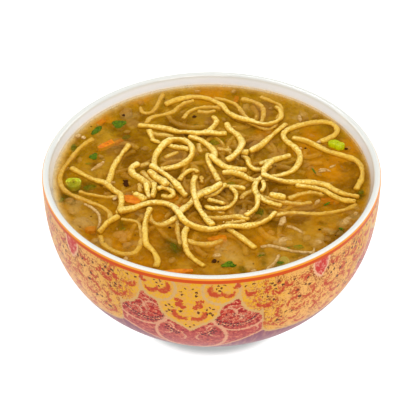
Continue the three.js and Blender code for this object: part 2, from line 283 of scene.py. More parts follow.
def turned(profile, around):
    """Vertices and faces of a profile of (radius, height) pairs turned about the upright axis."""
    rings = [
        [(r * math.cos(2 * math.pi * i / around), r * math.sin(2 * math.pi * i / around), z)
         for i in range(around)]
        for r, z in profile
    ]
    vertices, faces, starts = [], [], []
    for ring, (r, z) in zip(rings, profile):
        starts.append(len(vertices))
        vertices += ring if r > 0 else [(0, 0, z)]
    for step in range(len(profile) - 1):
        low, high = starts[step], starts[step + 1]
        for i in range(around):
            after = (i + 1) % around
            if profile[step][0] == 0:
                faces.append((low, high + after, high + i))
            elif profile[step + 1][0] == 0:
                faces.append((low + i, low + after, high))
            else:
                faces.append((low + i, low + after, high + after, high + i))
    return vertices, faces


around = 240
lip_steps = 8
lip_start = rim_height - lip_round
quarter = [i / lip_steps * math.pi / 2 for i in range(lip_steps + 1)]
outside = [
    (side_radius(
        rim_height, foot_height, rim_radius, belly_radius, outside_rise, outside_tuck, z), z)
    for z in heights(lip_start, foot_height, 56)
][::-1]
lip = [
    (rim_radius - lip_round + lip_round * math.cos(t), lip_start + lip_round * math.sin(t))
    for t in quarter[1:]
] + [
    (rim_radius - lip_thickness + lip_round - lip_round * math.sin(t),
     lip_start + lip_round * math.cos(t))
    for t in quarter[1:]
]
inside = [
    (hollow_radius(z), z) for z in heights(broth_level - 1 * MM, inner_floor, 32)
]
foot = [
    (0, foot_recess), (foot_inner - foot_taper, foot_recess), (foot_inner - 0.2 * MM, 0.3 * MM),
    (foot_inner + 0.3 * MM, 0), (foot_outer - 0.3 * MM, 0), (foot_outer + 0.1 * MM, 0.4 * MM),
    (foot_outer + foot_taper, foot_height),
]
vertices, faces = turned(foot + outside + lip + inside + [(0, inner_floor)], around)
printed = range(len(foot) * around, (len(foot) + len(outside) + lip_steps - 1) * around)

glaze, place = new_finish("white_glaze")
ripple = place.speckle(0.35)
shade = place.speckle(0.05)
height = place.node("SeparateXYZ", {}, {0: place}).part("Z")
# painted light: below the lip the glaze white is made brighter and bluer than on the lip, against the
# shade and the warm bounce from the broth on the inner wall
below_lip_brightening = height.fade(rim_height / MM - 0.8, rim_height / MM - 2.0)
lip_white = shade.mix((0.73, 0.74, 0.70), (0.77, 0.78, 0.74))
white = below_lip_brightening.mix(lip_white, shade.mix((0.84, 0.87, 0.89), (0.87, 0.90, 0.92)))
stained = height.fade(broth_level / MM + 1.5, broth_level / MM + 0.1) ** 1.4
set_surface(place.node("BsdfPrincipled", {}, {
    "Base Color": (stained * 0.55).mix(white, tint(246, 222, 176)), "Roughness": 0.16,
    "Coat Weight": 0.5, "Coat Roughness": 0.04,
    "Normal": bump(ripple, 0.15, 0.1),
}))

print_finish, place = new_finish("gold_and_red_print")
spot = place.node("SeparateXYZ", {}, {0: place})
x, y, z = spot, spot.part("Y"), spot.part("Z")
repeat = 90
first_axis = -7.1
mm_per_degree = 1.12
# Down the curved wall the way gets longer than the drop. The brush is a little uneven both ways.
bend_depth, bend_gain = 35, 0.78
turn = x.math("ARCTAN2", y * -1) * math.degrees(1) - first_axis
brush = (place.speckle(0.45) - 0.5) * 0.9 + (place.speckle(1.5) - 0.5) * 1.7
across = abs(turn.math("WRAP", repeat / 2, -repeat / 2)) * mm_per_degree + brush
down = rim_height / MM - z
brush = (place.speckle(0.4) - 0.5) * 0.8 + (place.speckle(1.37) - 0.5) * 1.7
along = down + (down / bend_depth) ** 5 * bend_gain + brush
unrolled = across.node("CombineXYZ", {}, {"X": across, "Y": along})

gold_yellow = tint(202, 149, 16)
gold_beige = tint(194, 140, 68)
side_peach = tint(210, 154, 84)
print_red = tint(166, 44, 18)
field_red = tint(160, 34, 22)
field_rose = tint(160, 64, 60)
line_beige = tint(184, 146, 92)
line_cream = tint(204, 154, 116)
dark_brown = tint(92, 44, 10)
red_brown = tint(140, 64, 22)
mauve = tint(120, 60, 80)
mauve_pale = tint(146, 94, 90)


def dot(centre, radius):
    """A round spot of the print; places are (mm across, mm down) from the ogee's axis and the rim."""
    return unrolled.reach_to((*centre, 0)).fade(radius * 1.05, radius * 0.85)


def crescent(centre, radius, opening):
    """A disc less the same disc moved towards its opening."""
    cut = (centre[0] + opening[0], centre[1] + opening[1])
    return dot(centre, radius) * (1 - dot(cut, radius))


def all_of(marks):
    """One mask that covers wherever any of the marks is."""
    total = marks[0]
    for mark in marks[1:]:
        total = total.either(mark)
    return total


def circle_line(centre, radius, width):
    return abs(unrolled.reach_to((*centre, 0)) - radius).fade(width, width * 0.5)


def beads(centre, radius, count, size, first, last):
    """Spots along a circle, between two angles from straight down."""
    right, below = across - centre[0], along - centre[1]
    angle = right.math("ARCTAN2", below)
    side = ((angle * (count / (2 * math.pi))).math("FRACT") - 0.5) * (2 * math.pi * radius / count)
    off = (right * right + below * below) ** 0.5 - radius
    dots = (side * side + off * off).fade(size ** 2, (size * 0.6) ** 2)
    return dots * (angle > first) * (angle < last)


# The gold field reaches down to this outline: the ogee's tip, its shoulder, the apex of the red
# field and the broad medallion's edge.
widest, deepest = 50.4, 40
outline = [
    (0, 28.6), (4, 25), (7.6, 22.4), (9.6, 20.2), (11, 17.4), (11.8, 14), (13.4, 12.5),
    (15.6, 11.6), (17.4, 9.9), (19, 13.6), (21.3, 16.8), (24.2, 18.6), (26.4, 20.4), (27.2, 23.4),
    (27.5, 29.6), (29, 32.6), (33, 34.4), (43, 36), (50.4, 36.6),
]
points = [(a / widest, b / deepest) for a, b in outline]


def outline_at(side):
    share = side / widest
    return share.node("FloatCurve", {"points": points}, {"Value": share}) * deepest


edge = outline_at(across)
nudge = 0.5
slope = (outline_at(across + nudge) - edge) / nudge
beyond = (along - edge) / (slope * slope + 1) ** 0.5
gold = beyond < 0
gold_line = abs(beyond + 0.45).fade(0.75, 0.45) * (abs(along - edge) < 5)

red_marks = all_of([
    dot((2.2, 14.6), 1.1), dot((3.6, 13.4), 1.5), dot((4.6, 11.2), 0.9), dot((2.9, 11.6), 0.8),
    crescent((3.4, 18.8), 3.1, (-1.5, -1.9)), dot((5.9, 17.4), 1.1), dot((1.3, 21.0), 0.8),
    crescent((9.6, 5.9), 3.3, (1.9, -1.7)), crescent((13.9, 7.0), 2.7, (0.2, -2.1)),
    crescent((16.6, 3.4), 1.9, (-1.5, -0.8)), crescent((22, 7.3), 2.5, (0.5, -2)),
    dot((28.1, 8.6), 1.3), dot((28.6, 7.4), 1.2),
    crescent((32.2, 9.3), 2.6, (0, -2.2)), crescent((27.9, 12.9), 4.6, (0.3, -2.2)),
    crescent((36.6, 7.2), 2.3, (1.2, -1.2)), crescent((43.6, 6.0), 2.6, (-0.4, -1.8)),
    crescent((45.2, 15.4), 3.3, (-0.8, -1.6)), crescent((39.4, 18.6), 3.4, (1, 1.4)),
    crescent((35.0, 21.3), 3.6, (1.6, 0.3)), crescent((41.8, 21.4), 2.8, (-0.3, -1.8)),
    crescent((32.4, 26.8), 3.0, (1.6, -0.3)), crescent((35.2, 28.3), 3.2, (0, -1.7)),
    crescent((40.2, 26.6), 2.8, (-0.5, -1.6)), crescent((47.6, 25.0), 3.0, (-1.6, 0)),
    crescent((44.5, 31.0), 3.0, (0, -1.6)), crescent((39.0, 12.2), 2.2, (-0.3, -1.6)),
])

brown_marks = all_of([dot(centre, size) for centre, size in (
    ((1.3, 5.3), 0.45), ((2.8, 6.9), 0.5), ((2.6, 8.5), 0.55), ((3.2, 17.0), 0.7),
    ((6.3, 15.3), 0.5), ((8.5, 15.1), 0.5), ((7.4, 14.2), 0.4), ((6.5, 17.7), 0.5),
    ((7.6, 17.2), 0.5), ((8.3, 18.1), 0.5), ((1.5, 24.5), 0.5), ((0.2, 25.8), 0.45),
    ((10.2, 3.4), 0.5), ((11.6, 4.4), 0.5), ((12.6, 3.2), 0.5), ((11.0, 5.9), 0.5),
    ((9.8, 4.8), 0.4), ((20.0, 4.3), 0.5), ((23.0, 4.0), 0.5), ((29.8, 5.3), 0.5),
    ((31.0, 6.6), 0.6), ((32.6, 5.3), 0.6), ((33.8, 7.2), 0.6), ((31.4, 8.2), 0.6),
    ((30.9, 13.8), 0.6), ((26.2, 11.2), 0.5), ((28.4, 11.4), 0.5), ((29.2, 13.0), 0.4),
    ((33.2, 26.6), 0.8), ((34.6, 25.0), 0.5), ((36.2, 22.6), 0.6), ((41.4, 16.4), 0.7),
    ((39.0, 23.4), 0.7), ((43.6, 11.2), 0.6), ((45.4, 12.0), 0.6), ((40.2, 12.6), 0.6),
    ((38.6, 6.6), 0.6), ((44.4, 8.2), 0.6), ((47.0, 8.4), 0.6), ((36.6, 12.6), 0.5),
)])
# rosettes: rings of red petals, each with a dotted outline and an eye
aside = across.fade(18, 26)
rosette_size = 5.2
rosette = unrolled.node(
    "TexVoronoi", {}, {"Vector": unrolled, "Scale": 1 / rosette_size, "Randomness": 0.8})
rosette = rosette * rosette_size
petals = abs(rosette - 1.7).fade(0.75, 0.45) * place.speckle(0.4).fade(0.44, 0.5)
worn_through = place.speckle(0.95).fade(0.45, 0.38) * (aside * 0.7 + 0.3)
red_marks = red_marks.either(petals * aside * 0.85) * (1 - worn_through)
dotted = place.speckle(1.7).fade(0.46, 0.54)
outlines = abs(rosette - 2.8).fade(0.45, 0.2) * dotted
curls = abs(place.speckle(0.55, 2, 0.6) - 0.5).fade(0.034, 0.016) * dotted
curls = curls * (aside * 0.7 + 0.15)
curls = curls.either(outlines * aside * 0.9)
brown_marks = brown_marks.either(rosette.fade(0.6, 0.3) * dotted * aside)

beige_marks = circle_line((11.4, 5.9), 6.6, 0.8) * (along > 2.4)

past_band = across * 0.72 + along - 51.2
cream_lines = all_of([
    circle_line((18.5, 17), 11.2, 0.75), circle_line((0, 33), 13.8, 0.95),
    crescent((14.6, 17.2), 2.9, (-0.7, 0.8)), crescent((17.0, 20.0), 2.4, (-0.8, 0.3)),
    crescent((8.0, 26.4), 2.2, (0.6, 0.6)), crescent((20.2, 20.6), 2.0, (0.6, 0.5)),
    crescent((4.6, 33.6), 3.0, (0.8, 0)), crescent((18.6, 16.6), 1.9, (0.7, 0.2)),
    crescent((21.6, 18.4), 1.6, (-0.6, 0.3)), crescent((16.0, 14.6), 1.5, (0.2, 0.6)),
    crescent((9.4, 30.0), 2.6, (0.7, -0.4)), crescent((23.6, 28.6), 2.6, (-0.5, 0.6)),
    abs(past_band).fade(1.0, 0.5),
])
dark_beads = all_of([
    beads((17, 14.4), 9.6, 52, 0.55, -0.95, 0.95), beads((17, 14.4), 11.0, 58, 0.5, -0.7, 0.6),
    beads((0, 21.5), 10.4, 50, 0.6, 0.4, 1.15), beads((0, 21.5), 11.8, 56, 0.55, 0.45, 1.0),
])
pale_beads = all_of([
    beads((17, 14.4), 10.3, 52, 0.45, -0.9, 0.9), beads((0, 21.5), 9.2, 44, 0.5, 0.3, 1.1),
])

gold_paint = place.speckle(0.8, 3, 0.7).fade(0.4, 0.6).mix(gold_yellow, gold_beige)
gold_paint = (across.fade(24, 44) * 0.8).mix(gold_paint, side_peach)
gold_paint = beige_marks.mix(gold_paint, line_beige)
gold_paint = curls.mix(gold_paint, red_brown)
gold_paint = (red_marks * 0.92).mix(gold_paint, print_red)
gold_paint = brown_marks.mix(gold_paint, dark_brown)

red_paint = along.fade(17, 34).mix(field_red, field_rose)
fleck = place.speckle(0.8, 3, 0.65)
red_paint = (fleck.fade(0.53, 0.61) * 0.6).mix(red_paint, tint(202, 118, 84))
red_paint = (fleck.fade(0.45, 0.38) * 0.75).mix(red_paint, tint(112, 30, 30))
upright = unrolled.node("VectorMath", {"operation": "MULTIPLY"}, {0: unrolled, 1: (1, 0.15, 1)})
streaks = upright.speckle(0.6, 3, 0.6).fade(0.45, 0.65).mix(mauve, mauve_pale)
red_paint = past_band.fade(-0.4, 0.8).mix(red_paint, streaks)
scrolls = abs(place.speckle(0.4, 2, 0.6) - 0.5).fade(0.03, 0.014) * along.fade(27, 22)
red_paint = (scrolls * 0.5).mix(red_paint, line_cream)
red_paint = (cream_lines * 0.7).mix(red_paint, line_cream)
red_paint = (pale_beads * dotted).mix(red_paint, tint(216, 168, 120))
specks = place.speckle(1.2).fade(0.6, 0.66) * abs(along - 19).fade(5, 1)
red_paint = dark_beads.either(specks * 0.9).mix(red_paint, tint(76, 30, 32))

paint = gold.mix(red_paint, gold_paint)
paint = (gold_line * 0.85).mix(paint, line_beige)
# a shield where two repeats meet: one side of it is an arc about a point beyond the join
shield_arc = (56.4, 3.2, 0)
arc = unrolled.reach_to(shield_arc)
paint = (arc.fade(12, 11.4) * dotted * 0.8).mix(paint, red_brown)
paint = arc.fade(10.3, 9.9).mix(paint, line_cream)
shield = place.speckle(0.7, 3, 0.7).fade(0.5, 0.62).mix(tint(178, 44, 36), tint(196, 124, 104))
paint = arc.fade(9.4, 9.0).mix(paint, shield)

# The lines below the lip: the white glaze, a thin gold line, then the orange-red one. The foot is
# left plain.
paint = down.fade(2.7, 2.4).mix(paint, tint(184, 66, 3))
paint = down.fade(1.15, 0.9).mix(paint, tint(220, 142, 40))
paint = down.fade(0.5, 0.2).mix(paint, (0.76, 0.76, 0.7))
paint = down.fade(52, 53).mix(paint, (0.8, 0.8, 0.785))

set_surface(place.node("BsdfPrincipled", {}, {
    "Base Color": paint, "Roughness": 0.35, "Specular IOR Level": 0.12,
    "Normal": bump(place.speckle(0.35), 0.15, 0.1),
}))

bowl = new_piece("porcelain_bowl", vertices, faces, [glaze, print_finish])
for index in printed:
    bowl.data.polygons[index].material_index = 1
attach(bowl, "root")
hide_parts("bowl")

# ---------------------------------------------------------------------------------------------------
# The broth: thickened with starch and dark with soy, poured in to just below the lip. Its glossy
# surface lets the things just below it show, and under them the broth is murky and mottled.

broth_edge = 61.2 * MM
meniscus = 0.35 * MM
meniscus_width = 1.4 * MM
murk_depth = 3.2 * MM
murk_edge = 60.9 * MM
murk_slope = 6 * MM
murk_steps = 10
clear_layer = 0.5 * MM
off_floor = 0.3 * MM

level = broth_level / MM

surface_profile = [(0, broth_level)] + [
    (broth_edge - meniscus_width * (1 - i / 5), broth_level + meniscus * (i / 5) ** 2)
    for i in range(6)
]
side_profile = [
    (hollow_radius(z), z) for z in heights(broth_level - 1.5 * MM, inner_floor + off_floor, 24)
]
broth_vertices, broth_faces = turned(
    [(0, inner_floor + off_floor)] + side_profile[::-1] + surface_profile[::-1], around)
surface_start = len(broth_faces) - 6 * around

murk_profile = [(0, broth_level - 9 * MM), (40 * MM, broth_level - 8 * MM)]
for i in range(murk_steps + 1):
    share = i / murk_steps
    murk_profile.append((
        murk_edge - murk_slope * share ** 1.5,
        broth_level - clear_layer - (murk_depth - clear_layer) * share ** 0.6))
murk_profile.append((0, broth_level - murk_depth))
murk_vertices, murk_faces = turned(murk_profile, 96)


def joined(parts):
    """One list of vertices and one of faces from several of each."""
    vertices, faces = [], []
    for more_vertices, more_faces in parts:
        start = len(vertices)
        vertices += more_vertices
        faces += [tuple(start + corner for corner in face) for face in more_faces]
    return vertices, faces


amber = tint(222, 144, 2)
deep_amber = tint(146, 94, 0)
brown_broth = tint(176, 120, 0)
olive_broth = tint(200, 148, 10)
pale_broth = tint(214, 162, 44)
dull_broth = tint(180, 126, 56)
thin_broth = tint(240, 194, 102)

# Where the broth glows amber, where it is deep and dark, where starch makes it pale and where it is
# dull, as (mm right, mm back, mm across).
amber_patches = [
    (46, 6, 13), (37, 18, 8), (41, 10, 6), (31, -14, 8), (3, -39, 7), (0, 58, 12), (40, 28, 7),
    (20, -36, 6), (-46, 37, 7), (30, 56, 9), (-32, 54, 8), (57, 20, 7), (-33, -38, 6),
    (-24, -50, 5), (22, 30, 6), (-21, -24, 5), (-9, -36, 4), (50, 16, 7),
]
deep_patches = [
    (-30, 11, 9), (-31, 25, 6), (-14, 33, 9), (-31, 38, 5), (-15, -42, 7),
    (26, -9, 6), (53, -4, 7), (-57, -12, 7), (-13, -1, 7), (12, -16, 6), (-4, -18, 6), (7, 1, 7),
    (26, 5, 6), (24, -28, 5), (33, -27, 5), (10, 10, 6), (-48, -7, 5), (3, -13, 5), (-27, 10, 7),
    (-3, -1, 5), (17, -27, 5), (46, -35, 6), (53, 6, 4), (-36, 34, 5), (-47, 9, 4), (18, 1, 4),
]
pale_patches = [
    (-45, 5, 9), (-43, 28, 6), (25, 53, 7), (38, 44, 8), (30, 36, 6), (32, -37, 9), (24, -48, 9),
    (8, -47, 8), (-46, -24, 9), (-20, 50, 6), (-4, 42, 6), (12, 30, 5), (13, 45, 5), (1, -55, 5),
    (-8, -54, 4),
    (38, -30, 4), (30, -33, 3.4), (22, -38, 3.4), (46, -24, 3), (33, -41, 3), (14, -50, 3),
]
dull_patches = [
    (21, 42, 6), (19, 22, 7), (-36, 19, 6), (4, -12, 4), (26, 14, 5), (-14, 11, 6), (0, 36, 5),
    (34, -22, 5),
]
# where soft lumps of cabbage show through it, and where greens do
cabbage_patches = [
    (26, -38.5, 2.8), (11, -21.5, 3.4), (39, -38, 2.8), (49, -28, 2.6), (52, -24, 2.8), (43, -31, 2),
    (8, -47, 4), (15, -52, 2.8), (22, -50, 2.6), (-48, -27, 4.6), (-52, -18, 3.8), (-30, -40, 3),
    (-26, -23, 2.6), (34, -33, 2.2), (35, -45, 2.8), (55, -19, 2.2), (36, 38, 2.8), (-33, 38, 3),
    (4, -42, 3), (31, -51, 2.6), (-40, -40, 2.6),
]
# the green patches at (-56, -12) and (-52, -9) and the deep patch at (-57, -12) make the broth darker
# and more olive along the left wall
green_patches = [
    (19.5, -22, 3.2), (-56, -12, 3.8), (-52, -9, 3), (-46, -7, 3.4), (-33.5, -30, 3), (-14.5, -41, 3),
    (25, -51, 2.8), (18, -46, 2.6), (47, -32, 2.4), (32, -42.5, 2.8), (43, -27, 2.2), (-41, 33, 3),
    (55, -12, 2.4), (-54, 18, 3), (12, -54, 2.6), (-40, 46, 2.6),
]


def patched(place, patches):
    """A soft mask of round patches whose edges a swirling noise pulls about."""
    pull = 14
    swirl = place.node("TexNoise", {}, {"Vector": place, "Scale": 0.12, "Detail": 3}, 1)
    pulled = swirl.node(
        "VectorMath", {"operation": "MULTIPLY_ADD"}, {0: swirl, 1: (pull, pull, 0), 2: place})
    flat = pulled.node("VectorMath", {"operation": "MULTIPLY"}, {0: pulled, 1: (1, 1, 0)})
    return all_of([
        flat.reach_to((right + pull / 2, back + pull / 2, 0)).fade(reach * 1.1, reach * 0.4)
        for right, back, reach in patches
    ])


def broth_colour(place):
    cloud = place.speckle(0.2, 4, 0.7)
    forward = place.node("SeparateXYZ", {}, {0: place}).part("Y").fade(20, -30)
    brown = forward.mix(brown_broth, tint(182, 114, 0))
    olive = forward.mix(olive_broth, tint(206, 140, 6))
    colour = cloud.fade(0.38, 0.6).mix(brown, olive)
    for patches, tone, strength in (
        (amber_patches, amber, 0.9), (pale_patches, pale_broth, 0.6),
        (dull_patches, dull_broth, 0.75), (deep_patches, deep_amber, 0.85),
        (cabbage_patches, tint(224, 182, 96), 0.6), (green_patches, tint(98, 92, 4), 0.7),
    ):
        colour = (patched(place, patches) * strength).mix(colour, tone)
    grain = place.speckle(0.5, 4, 0.75)
    colour = (grain.fade(0.52, 0.66) * 0.4).mix(colour, tint(222, 170, 66))
    colour = (grain.fade(0.46, 0.34) * 0.5).mix(colour, tint(134, 84, 0))
    # it thins out to a pale rim at the wall, a little wider on one side: the rim is set off centre so
    # that it is narrower on the shaded side, which is painted shade, and the palest line right at the
    # wall is a painted highlight on the meniscus
    near_wall = place.reach_to((0.8, -0.4, level)) + place.speckle(0.3) * 1.5
    colour = near_wall.fade(59.2, 62).mix(colour, thin_broth)
    return (near_wall.fade(61, 62.6) * 0.8).mix(colour, tint(248, 228, 180))


murk_finish, place = new_finish("murky_broth")
starch = place.speckle(0.45, 3, 0.6).fade(0.56, 0.72) * 0.5
set_surface(place.node("BsdfPrincipled", {}, {
    "Base Color": starch.mix(broth_colour(place), tint(206, 160, 92)),
    "Roughness": 0.5, "Specular IOR Level": 0.0,
    "Normal": bump(place.speckle(0.3), 0.6, 1.5),
}))

surface_finish, place = new_finish("glossy_broth")
veil = place.speckle(0.22, 3, 0.6)
oil = place.speckle(0.9, 1).fade(0.66, 0.7)
set_surface(place.node("BsdfPrincipled", {}, {
    "Base Color": broth_colour(place), "Roughness": 0.14 - oil * 0.08, "IOR": 1.35,
    "Specular IOR Level": 0.08, "Alpha": veil.fade(0.3, 0.7) * 0.2 + 0.3,
    "Normal": bump(place.speckle(0.25) + place.speckle(1.2) * 0.15, 0.35, 0.5),
}))

broth = new_piece(
    "broth", *joined([(broth_vertices, broth_faces), (murk_vertices, murk_faces)]),
    [murk_finish, surface_finish])
for index in range(surface_start, len(broth_faces)):
    broth.data.polygons[index].material_index = 1
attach(broth, "root")
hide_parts("soup")

# ---------------------------------------------------------------------------------------------------
# The fried noodles: thin wheat noodles, blistered and crisp from the oil, dropped on the broth. The
# lowest float half sunk and soak up broth, and each one laid later climbs over those under it.

noodle_radius = 1.04
press = 0.8
climb = 0.35
stack_height = 5.5
sunk_start, upper_start = -0.55, 0.15
hidden_strands = 76

# Each strand's girth, and the [x, y] points in millimetres that it passes, seen from above. They go
# from the lowest strand to the highest.
sunk_routes = [
    (0.97, [(20, 53), (24, 50), (28.5, 45.5), (27.5, 41), (26, 37)]),
    (0.97, [(1, 52), (6, 50), (10.5, 46.5), (13, 40), (16, 33)]),
    (0.97, [(12, 51.5), (17, 49.5), (20.5, 45.5), (21, 40), (19.5, 32)]),
    (0.97, [(-20, 55), (-21.3, 50), (-22.6, 45), (-25, 41.6), (-27.8, 42), (-28.8, 45.4)]),
    (0.97, [(-26.5, 34), (-24, 38.5), (-16, 42), (-12, 47), (-7, 50)]),
    (0.97, [(-11.5, 37.5), (-9.5, 42), (-4, 45.5), (1, 45.5), (4, 44.5)]),
    (0.97, [(17, -12), (22, -14), (33, -17), (38, -16)]),
    (0.97, [(29, -14), (33, -11.5), (38, -10), (43, -11.5)]),
    (0.97, [(-13, -27), (-12.5, -34), (-11, -41)]),
    (0.97, [(-10.5, -38.5), (-5, -40.5), (0, -40.5), (4, -38)]),
    (0.97, [(-23.5, -19), (-22.5, -27), (-19, -29.5), (-15, -28), (-11.5, -25)]),
    (0.97, [(-41, -35.5), (-40, -39.8), (-37, -43.4), (-32.5, -46), (-28, -45.6), (-26, -41),
            (-25.8, -34), (-27.5, -28), (-34, -26)]),
    (0.97, [(-50.5, -9.5), (-46, -11.5), (-41, -12.8), (-34.5, -13)]),
    (0.97, [(-47, 24), (-51, 19), (-55, 11), (-58, 3), (-58.3, -3), (-56, -9), (-51, -13),
            (-46, -16), (-40.5, -19.5), (-38, -23), (-38.5, -29)]),
    (0.97, [(23, -24), (29, -22.5), (37, -23), (44, -22.5), (50, -20.5), (55, -17.5)]),
    (0.97, [(7.5, 39.8), (10, 37), (14, 34.4), (18, 31.9), (21, 30.4), (24, 31.2), (26, 34)]),
    (0.97, [(-5.8, 42.5), (-1.7, 42), (1.7, 43)]),
    (0.97, [(-26, 30), (-22, 26.8), (-18.5, 26), (-15, 25)]),
    (1.1, [(5, -28.6), (9, -28), (13, -27.6)]), (0.97, [(2, 17.5), (8, 16)]),
    (0.97, [(-4, -24.5), (2, -25.5), (9, -25), (14, -27.5)]),
    (0.95, [(-18.5, 11.5), (-16, 13.5), (-13, 15.5)]), (0.95, [(-10, 24), (-9, 21), (-8, 17)]),
    (0.95, [(-5, 21), (-5, 18), (-4, 15)]), (1.0, [(-24.8, 28.5), (-24, 25.5), (-22.6, 22)]),
    (0.9, [(-24, 22), (-20, 20)]), (0.95, [(-4, 0), (-3.5, -4.5)]),
    (0.95, [(16, -9), (13, -11), (11, -14)]), (0.9, [(0, -21), (5, -22.5)]),
    (0.9, [(14, -25), (16, -22)]), (1.1, [(22, -12.5), (28, -15)]),
    (1.0, [(-27, 3.2), (-24.6, -1.4), (-21.8, -5.4), (-20, -8.8)]),
    (1.0, [(-24, 8), (-27, 6.5), (-31, 4)]), (0.9, [(-27.5, -4.5), (-27.3, -7), (-27, -10)]),
]
upper_routes = [
    (1.05, [(4, 1.5), (8, 1.6), (12, -0.4), (15, -2.8), (18, -4)]),
    (1.1, [(12.2, 13), (14, 10), (14.8, 6), (17, 3.4), (20, 3.6), (23, 6)]),
    (1.0, [(-19, 46.5), (-14, 50), (-7, 52), (-1, 50.5), (4, 46), (7, 40), (11, 35.5), (16, 32.5),
          (20, 30.8), (25, 33), (28, 38), (27.5, 42), (26, 44.5)]),
    (1.0, [(0.5, 38.5), (2, 35), (0.5, 31), (-2.5, 26)]),
    (0.95, [(-18, 19.5), (-14, 17.8), (-10.5, 17), (-8.5, 15.5)]),
    (1.12, [(-9, 25), (-4.5, 22), (-1, 18.5), (1.2, 13.5), (0.5, 9)]),
    (1.0, [(43, 21.5), (47, 24), (50, 28), (49.5, 32), (46, 34.5), (40, 34), (34.5, 32), (30, 29),
          (28.5, 26), (29.5, 22), (32.5, 18), (34.5, 13), (34, 8), (31.5, 3), (27, 0), (20, -2.5)]),
    (1.0, [(32, 24), (37, 22), (41, 19), (46, 15), (52, 12), (56.5, 9), (58.2, 4), (57.8, -2),
          (55, -9)]),
    (1.0, [(31, 12.5), (27, 10.8), (22.5, 8.6), (18.5, 6.8)]),
    (0.95, [(24, 8), (22.5, 5.6), (20.5, 2.6), (20, -1)]), (1.1, [(11.5, 13.2), (14.5, 12.2)]),
    (1.05, [(30, 33.5), (25, 27), (20.5, 20.5), (17, 14.5), (15, 12)]),
    (1.0, [(-32.5, 19.5), (-35.5, 12.5), (-38, 5), (-39, -2), (-40.5, -8)]),
    (1.0, [(-54.5, 4.5), (-48, -1), (-42, -5.5), (-38, -9.5), (-34.5, -13), (-34, -18),
          (-34.8, -24)]),
    (1.0, [(-34.5, -25.5), (-38.5, -29.5), (-41.5, -35)]),
    (1.0, [(-23, -21), (-24.5, -29), (-24.5, -36), (-24, -41), (-21, -45.5), (-19.5, -51),
          (-20.3, -54)]),
    (1.0, [(-9, -31.5), (-10, -37), (-9, -45), (-6, -50), (-2.5, -53.5)]),
    (1.0, [(6, -32), (11, -37.5), (16, -43.5)]),
    (1.0, [(20, -2.5), (17, -6), (16.5, -10.5), (18.5, -14.5), (22, -17), (26.5, -19)]),
    (1.0, [(17.5, -14), (17, -20), (15, -24), (12.5, -27)]),
    (0.85, [(-5.5, -11.5), (-1, -8.5), (4, -7), (9, -7.3), (13, -8.5)]),
    (0.85, [(7, -8), (9.3, -12), (8.3, -17), (4.5, -21), (0, -21.3), (-2.5, -19.5)]),
    (0.95, [(-1.5, -15), (1.5, -16.5), (5, -19)]),
    (0.85, [(-3, -13.2), (1, -12), (3.5, -9.5), (5.5, -7.5)]),
    (0.7, [(19.5, -5.5), (20, -9), (18.8, -13)]),
    (1.0, [(-1.5, 13.5), (-1, 7.5), (1, 1.5), (2.8, -4)]),
    (1.15, [(-0.5, 10.5), (2.5, 7), (6, 4.6), (10, 3.4), (13.6, 3.2)]),
    (1.15, [(-28, 6), (-31, 3.5), (-30.5, 0.8), (-27, -3), (-24.3, -6), (-23.3, -8.5)]),
    (0.95, [(-25, -6.5), (-24.5, -10), (-23.3, -14.5)]),
    (0.95, [(-22, -6), (-21.8, -10), (-22.3, -15)]),
    (1.25, [(-29.5, -11.5), (-27, -13.5), (-25, -16)]),
    (1.0, [(-20.5, -10.5), (-18.5, -9), (-15.8, -9.6), (-14.4, -12), (-16.2, -13.6), (-19, -12.8)]),
    (1.2, [(6, 34), (7, 30), (10.5, 25.5), (12, 20), (11.4, 14.5), (10.2, 11.6), (8, 9.4),
           (5.6, 8)]),
    (1.15, [(-29.5, 32.3), (-24, 31.5), (-18, 30), (-12, 27), (-7, 25.8), (-1, 26), (6, 27)]),
    (1.15, [(-22, 3), (-22.3, 9), (-21.4, 14), (-17.8, 19.3), (-13.2, 22.3), (-10.2, 20.8),
          (-8, 17), (-7.6, 12.5), (-10, 8), (-14.5, 5), (-20, 3.5)]),
    (1.3, [(-24, 2.5), (-22, -0.5), (-18.5, -6), (-17, -9)]),
    (0.9, [(-18.5, -1.5), (-16, -5.5), (-14, -8.5)]),
    (1.2, [(-23.5, 4.5), (-19, 0), (-15, -5), (-12, -10), (-9.5, -13.5)]),
    (1.1, [(-11.8, -25), (-8.5, -18.5), (-5, -14), (-1.5, -12.5), (4, -8.5)]),
    (0.95, [(-5.2, 1.5), (-6.5, 3.2), (-9, 2.4), (-11.2, -0.5), (-12.5, -3.5)]),
    (1.15, [(19, -3), (24, -4.5), (31, -4.5), (38, -4.8), (43, -6), (47, -9.5), (51, -12),
          (56, -13.5)]),
    (1.0, [(32, -6.5), (38, -7.5), (42, -9.3), (46, -12.8), (50, -15.5), (54.5, -16.5)]),
    (1.1, [(-34.8, -24), (-31, -21.5), (-26, -18.5), (-20.5, -17), (-17, -18.5), (-14.5, -22),
          (-12, -27), (-9, -31), (-5, -32.5), (2, -32.7), (9, -31.8), (16, -30), (21, -27),
          (24, -23.5)]),
    (1.1, [(-6, -0.5), (-7, -4), (-7, -10), (-6, -17), (-3.5, -24), (0.5, -31.5)]),
]


